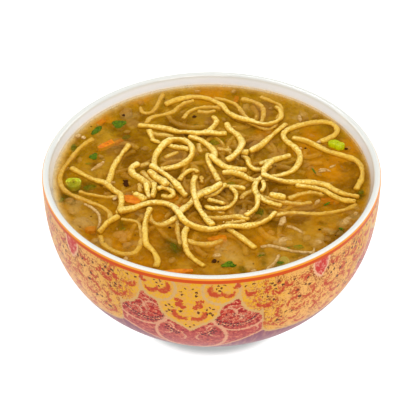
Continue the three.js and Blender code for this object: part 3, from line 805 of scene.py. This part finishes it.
def curve_through(points, pace):
    """Points at an even pace along a smooth curve (a centripetal Catmull-Rom spline)."""
    knots = [Vector(point) for point in points]
    knots = [knots[0] * 2 - knots[1]] + knots + [knots[-1] * 2 - knots[-2]]
    fine = []
    for a, b, c, d in zip(knots, knots[1:], knots[2:], knots[3:]):
        s, t, u = ((q - p).length ** 0.5 for p, q in ((a, b), (b, c), (c, d)))
        out = (b - a) / s - (c - a) / (s + t) + (c - b) / t
        back = (c - b) / t - (d - b) / (t + u) + (d - c) / u
        for i in range(12):
            k = i / 12
            fine.append(
                b * (1 - 3 * k ** 2 + 2 * k ** 3) + c * (3 * k ** 2 - 2 * k ** 3)
                + out * t * (k - 2 * k ** 2 + k ** 3) + back * t * (k ** 3 - k ** 2))
    fine.append(knots[-2])
    spans = [(q - p).length for p, q in zip(fine, fine[1:])]
    count = max(4, round(sum(spans) / pace))
    even, walked, leg = [fine[0]], 0, 0
    for i in range(1, count):
        goal = sum(spans) * i / count
        while walked + spans[leg] < goal:
            walked += spans[leg]
            leg += 1
        even.append(fine[leg].lerp(fine[leg + 1], (goal - walked) / spans[leg]))
    return even + [fine[-1]]


def laid(route, least, under, pace=0.6):
    """A strand's middle line: least high at its lowest, and over every strand laid before it."""
    plan = curve_through(route, pace)
    rise = []
    for point in plan:
        z = least
        for x, y, below in under:
            apart = math.hypot(point.x - x, point.y - y) / (2 * noodle_radius)
            if apart < 1:
                over = below + 2 * noodle_radius * press * math.sqrt(1 - apart ** 2)
                z = max(z, min(over, level + stack_height))
        rise.append(z)
    for i in range(1, len(rise)):
        rise[i] = max(rise[i], rise[i - 1] - climb * pace)
    for i in range(len(rise) - 2, -1, -1):
        rise[i] = max(rise[i], rise[i + 1] - climb * pace)
    smooth = []
    for i in range(len(rise)):
        near = rise[max(0, i - 4):i + 5]
        smooth.append(sum(near) / len(near))
    return [Vector((point.x, point.y, z)) for point, z in zip(plan, smooth)]


def strand(line, radius, seed, sides=12):
    """A closed tube round a line, with an uneven, blistered skin and worn ends. Millimetres in."""
    vertices, faces = [], []
    for i, point in enumerate(line):
        ahead = line[min(i + 1, len(line) - 1)] - line[max(i - 1, 0)]
        side = Vector((0, 0, 1)).cross(ahead).normalized()
        up = ahead.normalized().cross(side)
        to_end = min(i, len(line) - 1 - i)
        worn = 1.0 + 1.8 * abs(noise.noise(Vector((seed * 0.7, 5 * (i > to_end), 0))))
        ending = math.sqrt(1 - max(0, 1 - (to_end + 0.4) / worn) ** 2)
        uneven = 0.22 * noise.noise(point * 0.2 + Vector((seed, 0, 0)))
        uneven += 0.12 * noise.noise(point * 0.7)
        girth = radius * ending * (1 + uneven)
        twist = 1.5 * noise.noise(Vector((i * 0.04, seed, 0))) * math.pi
        for j in range(sides):
            turn = 2 * math.pi * j / sides
            flat = 1 + 0.18 * math.cos(2 * turn + twist)
            outward = side * math.cos(turn) + up * math.sin(turn)
            skin = point + outward * girth * flat
            blister = noise.noise(skin * 0.9) * 0.18 + noise.noise(skin * 1.8) * 0.14
            vertices.append((skin + outward * blister * ending) * MM)
    last = len(line) - 1
    for i in range(last):
        for j in range(sides):
            a, b = i * sides + j, i * sides + (j + 1) % sides
            faces.append((a, b, b + sides, a + sides))
    faces.append(tuple(range(sides))[::-1])
    faces.append(tuple(last * sides + j for j in range(sides)))
    return vertices, faces


noodle_finish, place = new_finish("fried_noodle_crust")
spot = place.node("SeparateXYZ", {}, {0: place})
height = spot.part("Z") - level
facing = place.node("TexCoord").part("Normal")
facing_up = place.node("SeparateXYZ", {}, {0: facing}).part("Z")
golden = tint(230, 178, 38)
deep_gold = tint(208, 150, 20)
crisp_and_lit_tone = tint(252, 220, 104)
crest_highlight_tone = tint(255, 244, 170)
middle = place.reach_to((2, 0, level)).fade(56, 26)
blister = place.speckle(1.1, 3, 0.7)
crust = place.speckle(0.35, 3, 0.6).fade(0.35, 0.65).mix(golden, deep_gold)
# painted light on the noodles: where a strand's skin faces up its colour is made paler, as a highlight
# of the light from above
lit_crest_mask = facing_up.fade(0.4, 1.0)
# paler where the noodle is dry and crisp, high above the broth and blistered, and also where it faces
# up: partly painted highlight
dry_and_top_lit = (lit_crest_mask * 0.9 + height * 0.14 + blister * 2.2).fade(1.45, 2.4)
crust = (dry_and_top_lit * (middle * 0.5 + 0.45)).mix(crust, crisp_and_lit_tone)
# a painted highlight: near-white crests on the upward faces, most in the middle of the heap
highlight_on_crests = (lit_crest_mask + height * 0.1 + blister * 2.4).fade(2.2, 2.6)
crust = (highlight_on_crests * middle * 0.6).mix(crust, crest_highlight_tone)
# painted shade on the sides and undersides of each strand, together with some real browning
browned_and_shaded_sides = (facing_up + place.speckle(0.5) * 0.6).fade(0.8, 0.1)
crust = (browned_and_shaded_sides * 0.85).mix(crust, tint(162, 104, 8))
scorch = place.speckle(0.8, 3, 0.7).fade(0.54, 0.64) * (spot.part("Y").fade(25, 0) * 0.6 + 0.4)
crust = (scorch * 0.6).mix(crust, tint(180, 122, 24))
pits = place.speckle(1.7, 3, 0.7)
crust = (pits.fade(0.42, 0.34) * 0.45).mix(crust, tint(156, 100, 8))
# painted glints on the upward faces
crust = (pits.fade(0.58, 0.68) * lit_crest_mask * 0.5).mix(crust, crest_highlight_tone)
wet = (height + place.speckle(0.4) * 1.2).fade(1.7, 0.3)
crust = (wet * 0.6).mix(crust, tint(190, 128, 8))
set_surface(place.node("BsdfPrincipled", {}, {
    "Base Color": crust, "Roughness": 0.4 - wet * 0.2, "Specular IOR Level": 0.25,
    "Normal": bump(blister + place.speckle(2.4) * 0.5, 0.9, 0.35),
}))

chance = random.Random(4)
strands, under = [], []
for girth, route in sunk_routes:
    line = laid(route, level + sunk_start, under)
    under += [tuple(point) for point in line[::2]]
    strands.append(strand(line, noodle_radius * girth, len(strands)))
for girth, route in upper_routes:
    line = laid(route, level + upper_start, under)
    under += [tuple(point) for point in line[::2]]
    strands.append(strand(line, noodle_radius * girth, len(strands)))

# What shows dimly between them: more strands lying below the surface.
for i in range(hidden_strands):
    reach, turn = 38 * chance.random() ** 0.6, chance.uniform(0, 2 * math.pi)
    heading, bend = chance.uniform(0, 2 * math.pi), chance.uniform(-0.13, 0.13)
    spot = Vector((reach * math.cos(turn), reach * math.sin(turn) * 0.9))
    route = []
    for step in range(6):
        route.append(tuple(spot))
        spot = spot + 4.5 * Vector((math.cos(heading), math.sin(heading)))
        heading += bend * 4.5
        if spot.length > 50:
            break
    if len(route) > 2:
        deep = level - chance.uniform(0.9, 2.3)
        line = [Vector((point.x, point.y, deep)) for point in curve_through(route, 0.8)]
        strands.append(strand(line, noodle_radius, 100 + i, 8))

noodles = new_piece("fried_noodle_heap", *joined(strands), [noodle_finish])
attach(noodles, "root")
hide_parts("fried_noodles")

# ---------------------------------------------------------------------------------------------------
# The droplets: beads of broth and oil that cling to the noodles' tops and catch the light. Their pale
# cream colour is a painted highlight, standing for glints on the wet noodles. Each is a low round bead
# set on a strand's upper side, mostly near the middle of the heap.

droplet_finish, place = new_finish("pale_glint_droplet")
set_surface(place.node("BsdfPrincipled", {}, {
    "Base Color": place.speckle(0.8).mix(tint(255, 226, 130), tint(232, 176, 60)),
    "Roughness": 0.05, "Specular IOR Level": 1.0,
}))


def moved(part, place):
    vertices, faces = part
    return [(vertex + place) * MM for vertex in vertices], faces


def droplet(radius):
    """A low round bead. Millimetres, about its own middle."""
    mesh = bmesh.new()
    bmesh.ops.create_icosphere(mesh, subdivisions=2, radius=radius)
    vertices = [Vector((vertex.co.x, vertex.co.y, vertex.co.z * 0.7)) for vertex in mesh.verts]
    faces = [tuple(vertex.index for vertex in face.verts) for face in mesh.faces]
    mesh.free()
    return vertices, faces


droplet_count = 150
chance = random.Random(8)
beads_of_broth = []
while len(beads_of_broth) < droplet_count:
    spot = Vector(chance.choice(under))
    if chance.random() < 1.1 - math.hypot(spot.x + 2, spot.y + 4) / 40:
        off = Vector((chance.uniform(-0.8, 0.8), chance.uniform(-0.8, 0.8), noodle_radius * 0.8))
        beads_of_broth.append(moved(droplet(chance.uniform(0.12, 0.36)), spot + off))
droplets = new_piece("broth_droplets", *joined(beads_of_broth), [droplet_finish])
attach(droplets, "root")

# ---------------------------------------------------------------------------------------------------
# The spring onion: short lengths cut straight across the leaf, sheath inside sheath, so each shows a
# green rim and paler rings. They float with their upper ends just out of the broth.

onion_finish, place = new_finish("spring_onion_green")
paleness = place.node("Attribute", {"attribute_name": "paleness"}).part("Fac")
fibre = place.speckle(1.2, 2)
green = fibre.fade(0.35, 0.65).mix(tint(204, 208, 0), tint(172, 180, 0))
green = paleness.mix(green, tint(190, 176, 82))
set_surface(place.node("BsdfPrincipled", {}, {
    "Base Color": green, "Roughness": 0.25, "Specular IOR Level": 0.15,
    "Normal": bump(fibre, 0.3, 0.2),
}))


def node_middle(name):
    low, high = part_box(name)
    return (low + high) / 2 / MM


def cut_sheath(outer, inner, half, lean, seed, squash, steps=40):
    """One closed ring of a cut spring onion, a little out of round. Millimetres."""
    section = [
        (inner, -half), (outer - 0.1, -half), (outer, -half + 0.15), (outer, half - 0.2),
        (outer - 0.15, half), (inner + 0.15, half), (inner, half - 0.15),
    ]
    vertices, faces = [], []
    for i in range(steps):
        turn = 2 * math.pi * i / steps
        shape = 1 + squash * math.cos(2 * turn) + 0.03 * math.sin(3 * turn + 2 * seed)
        for r, z in section:
            top = z + 0.12 * math.sin(3 * turn + seed)
            vertices.append(Vector((r * shape * math.cos(turn), r * shape * math.sin(turn), top)))
    wide = len(section)
    for i in range(steps):
        for j in range(wide):
            a, b = i * wide + j, i * wide + (j + 1) % wide
            c, d = (i + 1) % steps * wide + j, (i + 1) % steps * wide + (j + 1) % wide
            faces.append((a, c, d, b))
    return [lean @ vertex for vertex in vertices], faces


def tilted(turn, lean):
    """The rotation that turns a thing about the upright axis and then leans it, in degrees."""
    return (Matrix.Rotation(math.radians(lean), 3, "X")
            @ Matrix.Rotation(math.radians(turn), 3, "Z"))


def shade_layers(piece, values):
    """Stores one number for each vertex, for the piece's material to read."""
    layer = piece.data.attributes.new("paleness", "FLOAT", "POINT")
    layer.data.foreach_set("value", values)


# name, outer radius, height, turn and lean, how far out of round, paleness of the outer sheath and of
# the innermost, and how far it is sunk
onions = [
    ("spring_onion_left", 2.9, 2.4, 0, 6, 0.06, 0.2, 0.1, 1.5),
    ("spring_onion_right", 2.8, 2.2, -42, -14, 0.3, 0.0, 0.0, 0.2),
    ("spring_onion_front", 2.5, 2.2, 80, 4, 0.08, 0.8, 1.0, 1.6),
]
for index, (name, outer, height, turn, lean, squash, rim_pale, core_pale, sunk) in enumerate(
        onions):
    leaning = tilted(turn, lean)
    middle = node_middle(name)
    middle.z -= sunk
    sheaths = [
        cut_sheath(outer, outer - 0.75, height / 2, leaning, index, squash),
        cut_sheath(outer - 0.7, outer - 1.7, height / 2 - 0.1, leaning, index, squash),
        cut_sheath(outer - 1.65, 0.15, height / 2 - 0.2, leaning, index, squash),
    ]
    onion = new_piece(name + "_cut", *joined([moved(s, middle) for s in sheaths]), [onion_finish])
    shade_layers(onion, [
        rim_pale + (core_pale - rim_pale) * i / 2
        for i, sheath in enumerate(sheaths) for vertex in sheath[0]])
    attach(onion, "root")
    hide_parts(name)

# ---------------------------------------------------------------------------------------------------
# The herb leaves: torn coriander and spring onion green, thin, wavy and toothed. They lie flat on
# the broth and are wetted by it.

leaf_finish, place = new_finish("herb_leaf_green")
vein = place.speckle(1.6, 3, 0.6)
green = vein.fade(0.35, 0.65).mix(tint(42, 70, 0), tint(106, 130, 0))
set_surface(place.node("BsdfPrincipled", {}, {
    "Base Color": green, "Roughness": 0.4, "Specular IOR Level": 0.05,
    "Normal": bump(vein, 0.6, 0.3),
}))


def leaf(length, width, turn, lobes, seed, thickness=0.3):
    """A thin closed leaf with lobes, teeth and a wave in it. Millimetres, about its own middle."""
    around_leaf, rings = 48, 5
    vertices, faces = [], []
    for face in (1, -1):
        for ring in range(rings):
            share = (ring + 1) / rings
            for i in range(around_leaf):
                angle = 2 * math.pi * i / around_leaf
                lobe = 0.85 + 0.15 * math.cos(lobes * angle + seed)
                tooth = 1 + 0.07 * math.sin(13 * angle + seed) * share
                x = math.cos(angle) * share * lobe * tooth * length / 2
                y = math.sin(angle) * share * lobe * tooth * width / 2
                wave = 0.25 * noise.noise(Vector((x * 0.5, y * 0.5, seed)))
                edge = thickness / 2 * (1 - 0.7 * share)
                vertices.append(Vector((x, y, wave + face * edge)))
        vertices.append(Vector((0, 0, face * thickness / 2)))
    half = rings * around_leaf + 1
    for start, order in ((0, 1), (half, -1)):
        for i in range(around_leaf):
            after = (i + 1) % around_leaf
            faces.append((start + half - 1, start + i, start + after)[::order])
            for ring in range(rings - 1):
                a, b = start + ring * around_leaf + i, start + ring * around_leaf + after
                faces.append((a, a + around_leaf, b + around_leaf, b)[::order])
    rim = (rings - 1) * around_leaf
    for i in range(around_leaf):
        after = (i + 1) % around_leaf
        faces.append((rim + i, half + rim + i, half + rim + after, rim + after))
    spin = tilted(turn, 0)
    return [spin @ vertex for vertex in vertices], faces


leaves = [
    ("herb_leaf_back", 6.6, 5.6, 30, 3, 0.1), ("herb_leaf_left", 5, 3.6, 80, 3, 0.1),
    ("herb_leaf_back_left", 8, 3, 68, 2, 0.2), ("herb_leaf_front", 5.5, 3.4, 20, 3, 0.35),
    ("herb_leaf_front_right", 5, 2.4, -20, 2, -0.15),
]
for index, (name, length, width, turn, lobes, rise) in enumerate(leaves):
    middle = node_middle(name)
    middle.z = level + rise
    piece = new_piece(
        name + "_torn", *moved(leaf(length, width, turn, lobes, index), middle), [leaf_finish])
    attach(piece, "root")
    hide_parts(name)

# ---------------------------------------------------------------------------------------------------
# The carrot: julienned sticks and wedges, cut with a knife and boiled until their corners are soft.
# They just break the surface.

carrot_finish, place = new_finish("cut_carrot")
grain = place.speckle(0.9, 3, 0.6)
set_surface(place.node("BsdfPrincipled", {}, {
    "Base Color": grain.fade(0.3, 0.7).mix(tint(232, 140, 10), tint(208, 100, 0)),
    "Roughness": 0.3, "Specular IOR Level": 0.12, "Normal": bump(grain, 0.4, 0.25),
}))


def carrot_cut(length, width, turn, seed):
    """A stick or wedge with bevelled edges and slightly wavy sides. Millimetres."""
    end, side, half = length / 2, width / 2, 0.8
    corners = [
        (-end, -side * 0.55), (-end * 0.2, -side), (end, -side * 0.8), (end, side),
        (-end * 0.3, side * 0.9), (-end, side * 0.4),
    ]
    mesh = bmesh.new()
    rings = []
    for z in (-half, half):
        rings.append([mesh.verts.new((x, y, z)) for x, y in corners])
    mesh.faces.new(rings[0][::-1])
    mesh.faces.new(rings[1])
    for i in range(len(corners)):
        after = (i + 1) % len(corners)
        mesh.faces.new((rings[0][i], rings[0][after], rings[1][after], rings[1][i]))
    bmesh.ops.bevel(mesh, geom=mesh.edges[:], offset=0.3, segments=2, affect="EDGES", profile=0.6)
    bmesh.ops.subdivide_edges(mesh, edges=mesh.edges[:], cuts=1, use_grid_fill=True)
    spin = tilted(turn, 0)
    vertices = []
    for vertex in mesh.verts:
        wave = noise.noise_vector(vertex.co * 0.7 + Vector((seed, 0, 0))) * 0.18
        vertices.append(spin @ (vertex.co + wave))
    faces = [tuple(vertex.index for vertex in face.verts) for face in mesh.faces]
    mesh.free()
    return vertices, faces


carrots = [
    ("carrot_left", 7.5, 3.2, 36, 0.75), ("carrot_front", 12, 2.6, 186, 0.45),
    ("carrot_back", 4.6, 2.4, 50, 1.9),
]
for index, (name, length, width, turn, sunk) in enumerate(carrots):
    middle = node_middle(name)
    middle.z = level - sunk
    piece = new_piece(
        name + "_cut", *moved(carrot_cut(length, width, turn, index * 5), middle), [carrot_finish])
    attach(piece, "root")
    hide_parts(name)

# ---------------------------------------------------------------------------------------------------
# The chicken: torn lumps, fibrous along their length, with pieces of soft cabbage among them. They
# sit low in the broth and take its colour where they are wet.

chicken_finish, place = new_finish("boiled_chicken")
height = place.node("SeparateXYZ", {}, {0: place}).part("Z")
fibre = place.speckle(1.1, 4, 0.65)
flesh = fibre.fade(0.35, 0.65).mix(tint(196, 152, 84), tint(238, 204, 140))
soaked = (height - level + fibre).fade(1.5, 0.4)
flesh = (soaked * 0.7).mix(flesh, tint(184, 130, 36))
set_surface(place.node("BsdfPrincipled", {}, {
    "Base Color": flesh, "Roughness": 0.35, "Specular IOR Level": 0.15,
    "Normal": bump(fibre, 0.8, 0.6),
}))


def lump(length, width, height, turn, seed, detail=4, ragged=0.28):
    """A torn lump whose surface follows a noise drawn out along its length. Millimetres."""
    mesh = bmesh.new()
    bmesh.ops.create_icosphere(mesh, subdivisions=detail, radius=1)
    mesh.verts.ensure_lookup_table()
    spin = tilted(turn, 0)
    vertices = []
    for vertex in mesh.verts:
        way = vertex.co.normalized()
        torn = 1 + ragged * noise.noise(way * 1.4 + Vector((seed * 3.7, 0, 0)))
        torn += ragged * 0.45 * noise.noise(Vector((way.x * 1.5, way.y * 5, way.z * 5 + seed)))
        size = Vector((way.x * length / 2, way.y * width / 2, way.z * height / 2))
        vertices.append(spin @ (size * torn))
    faces = [tuple(vertex.index for vertex in face.verts) for face in mesh.faces]
    mesh.free()
    return vertices, faces


chickens = [
    ("chicken_left", 8.5, 5.5, -40, 0.8), ("chicken_front_left", 5.6, 4.2, 70, 0.8),
    ("chicken_front", 6.5, 4.4, 25, 0.2), ("chicken_front_right", 6, 4.6, -35, 0.3),
    ("chicken_right", 6, 4.4, 60, 0.2), ("chicken_back_right", 7, 3.8, 100, 0.7),
    ("chicken_back_left", 6, 4, 35, 0.9),
]
for index, (name, length, width, turn, sunk) in enumerate(chickens):
    middle = node_middle(name)
    middle.z = level - width * 0.26 - sunk
    piece = new_piece(
        name + "_torn", *moved(lump(length, width, width * 0.75, turn, index), middle),
        [chicken_finish])
    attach(piece, "root")
    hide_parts(name)

# ---------------------------------------------------------------------------------------------------
# What swims in the broth: chopped cabbage, chicken and carrot crumbs, shreds and scraps of green.
# Some break the surface, and most lie just below it and show through. A few pale lumps standing out of
# it are painted highlights, put where light glints on the broth.

# x and y in millimetres, length, width, turn in degrees, and depth of the middle below the surface
pale_bits_and_glints = [
    (42.5, -32, 3.6, 3, 0, 0.9), (18, -46, 3.4, 2.2, 40, 0.8), (32.5, -48, 2.6, 1.8, 10, 0.8),
    (43, -37, 3, 2, -50, 0.9), (15, -55.5, 3, 2, 0, 0.5), (-43, -38, 3.2, 2.2, 30, 0.9),
    (-31, -49, 3, 2.2, 120, 0.5), (-53, -20.5, 3, 2.4, 60, 0.9), (-51.5, 11, 2.8, 1.8, 80, 1.0),
    (54, 19, 2.4, 1.8, 0, 1.0), (42, 40.5, 3, 2, 30, 1.2), (-6, 57, 3, 1.8, 0, 0.5),
    (9, 57, 2.6, 1.8, 20, 0.5), (-29, 50, 3, 2, 20, 1.2), (47.5, -33.5, 2.8, 2, 40, 0.9),
    (54, -23, 2.6, 1.8, 80, 0.3), (20.5, -54, 2.4, 1.8, 10, 0.4), (37, -45.5, 2.4, 2, 0, 0.3),
    (26.5, -27.5, 6, 2.6, 75, 0.1), (12, -22, 5.5, 3.5, 80, 0.9), (9, -28, 4, 3, 20, 0.8),
    (31, -32, 5, 1, -30, 0.1), (-34, -34, 5, 4, 0, 1.2), (-31, -40, 4, 3, 40, 1.3),
    (40, -16, 4, 1.6, 60, 0.2), (43, 3, 4, 1.4, 20, 0.1), (47, 6, 3.4, 1.2, 40, 0.2),
    (2, -47, 3.6, 2.6, 20, 0.4), (51, -26, 5, 3, 80, 0.7), (35.5, 38, 5.5, 1.8, 95, 0.3),
    (29, -30, 3, 2, 10, 0.8), (35, -36, 4, 3, 50, 1.2), (22, -33, 3, 2, 0, 1.1),
    (48, -40, 3, 2, 30, 0.9), (-40, -30, 4, 3, 20, 1.0), (-54, -14, 3, 2.4, 10, 0.9),
    (17, 21, 6, 4, 70, 1.2), (24, 14, 5, 3, 30, 1.3),
    (14, 47, 5, 3, 80, 1.2), (37, 8, 4, 2, 30, 1.4), (-44, 6, 6, 1.6, 45, 0.3),
    # the two by the left wall, the one at (-36.6, -14.6) and the small one at (35, 17) stand out of the
    # broth as pale lumps where light glints: painted highlights
    (-53.2, 25.2, 2.8, 1.9, 20, -0.3), (-50.8, 24, 2.0, 1.7, 0, -0.3),
    (-36.6, -14.6, 2.2, 1.4, 60, -0.4), (42.8, 21.6, 2.8, 1.8, 20, -0.1), (35, 17, 1.3, 1, 0, -0.4),
    (-39.5, -4, 5.5, 1.4, -10, 0.2), (-18, 12, 5, 3, 0, 1.4), (3, 21, 5, 3, 0, 1.6),
]
sunk_bits = [
    (lump(length, width, min(width, 2) * 0.8, turn, seed + 20, 2, 0.4),
     Vector((x, y, level - deep)))
    for seed, (x, y, length, width, turn, deep) in enumerate(pale_bits_and_glints)
]


def scattered(chance, spread):
    """A place at random within a circle, as x and y."""
    reach, angle = spread * math.sqrt(chance.random()), chance.uniform(0, 2 * math.pi)
    return reach * math.cos(angle), reach * math.sin(angle)


crumb_count = 150
chance = random.Random(11)
for seed in range(crumb_count):
    spot = scattered(chance, 58)
    size = chance.uniform(1.2, 3.6)
    shape = lump(size, size * chance.uniform(0.4, 0.8), 0.9, chance.uniform(0, 180), seed, 2, 0.45)
    deep = chance.uniform(0.75, 2.4)
    sunk_bits.append((shape, Vector((*spot, level - deep))))
crumbs = new_piece("pale_crumbs_and_glints", *joined([moved(bit, spot) for bit, spot in sunk_bits]),
                   [chicken_finish])
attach(crumbs, "root")

green_bits = [
    (-46.5, -7, 5.5, 4.2, 20, 0.5), (39.5, 3, 4, 0.9, -65, 0), (43.5, -17.5, 4, 1, 50, 0),
    (57, -9.5, 4, 2, 80, 0.5), (7, -4.5, 5, 3, 0, 0.9), (2, 23, 7, 5, 10, 0.9),
    (18, -22, 6, 4, 75, 0.8), (18, -47, 3, 1.4, 30, 0.3), (25, -51, 3, 1.6, 20, 0.2),
    (48, -32, 2.4, 1.2, 0, 0.1), (-33, -31, 4, 2.6, 20, 1.4), (-14, -40.5, 4.5, 3, 80, 1.6),
    (-54.5, 18.5, 4.5, 2.6, 80, 0.5), (-48, 8, 2.4, 1.4, 0, 0.5), (8, -53, 2.4, 1.6, 50, 0.1),
    (28, -43, 2.2, 1, 20, 0.2), (-6, 34, 7, 4, 0, 2.0), (-34, 27, 4, 3, 0, 1.8),
    (-57, -14, 3.4, 2, 60, 1.0), (36, -46, 2, 1, 70, 0.2),
]
scraps = new_piece("green_scraps", *joined([
    moved(leaf(length, width, turn, 2, seed, 0.35), Vector((x, y, level - deep + 0.15)))
    for seed, (x, y, length, width, turn, deep) in enumerate(green_bits)
]), [leaf_finish])
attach(scraps, "root")

orange_bits = [
    (-30.2, -14.6, 7.6, 5, -25, 0.5), (-15, -13, 5, 3, 20, 1.2), (-13, -19, 4, 2.4, 60, 1.2),
    (2, -36.5, 7, 3, 10, 1.3), (45, -14, 7, 2.4, -10, 1.2),
    (-37, 22.5, 4, 2, 30, 0.9), (-45, -31, 4, 3, 0, 1.5), (10, 52, 5, 2, 80, 1.6),
]
slivers = new_piece("carrot_slivers", *joined([
    moved(carrot_cut(length, width, turn, seed + 30), Vector((x, y, level - deep)))
    for seed, (x, y, length, width, turn, deep) in enumerate(orange_bits)
]), [carrot_finish])
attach(slivers, "root")

# thin shreds of cabbage and chicken that lie curled on the surface
shred_routes = [
    (0.58, [(18, -42.5), (22, -42), (26, -43.5), (30, -45), (34, -45.5), (38, -46)]),
    (0.5, [(-48, -17.5), (-45, -20), (-42.5, -23.5), (-41.5, -28), (-42, -32)]),
    (0.5, [(28, -30.5), (31, -32), (33.5, -34.5)]), (0.42, [(41.5, 3.5), (44, 4), (46, 2.5)]),
    (0.42, [(-46.5, 3), (-44, 6.5), (-41.8, 8.5)]), (0.42, [(-42, -3.5), (-39.5, -4.6), (-37, -4.4)]),
    (0.5, [(20, -55), (23, -51), (24.5, -47)]), (0.42, [(35, -49), (37, -46), (37.5, -43)]),
]
shreds = []
for seed, (girth, route) in enumerate(shred_routes):
    line = [Vector((p.x, p.y, level + 0.05)) for p in curve_through(route, 0.5)]
    shreds.append(strand(line, girth, seed + 60, 8))
shreds = new_piece("pale_shreds", *joined(shreds), [chicken_finish])
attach(shreds, "root")

# ---------------------------------------------------------------------------------------------------
# The pepper: coarse black specks and crumbs of burnt garlic, scattered on the broth by hand. The
# large ones lie where they are seen to, and the fine ones fall at random.

pepper_finish, place = new_finish("black_pepper")
set_surface(place.node("BsdfPrincipled", {}, {
    "Base Color": place.speckle(2.5).mix(tint(52, 22, 0), tint(84, 46, 8)),
    "Roughness": 0.7, "Specular IOR Level": 0.05,
}))
specks = [
    (-35.5, 39.5, 1.4), (-7, 38.5, 1.6), (-33, -3.6, 1.7), (-32.8, -4.9, 1.9),
    (-32.6, -6.2, 2.0), (1, -50.5, 2.0), (2.4, -50.8, 1.0), (53, 17, 1.3), (42.5, -11, 1.2),
    (-39.5, -40, 1.2), (-15.5, -31.5, 1.2), (37, 17.5, 1.0), (40, -32.5, 1.0),
]
fine_specks = 50
chance = random.Random(21)
for i in range(fine_specks):
    specks.append((*scattered(chance, 59), chance.uniform(0.25, 0.6)))
pepper = new_piece("pepper_specks", *joined([
    moved(lump(size, size * 0.8, size * 0.6, 0, seed, 2, 0.6), Vector((x, y, level + 0.05)))
    for seed, (x, y, size) in enumerate(specks)
]), [pepper_finish])
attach(pepper, "root")
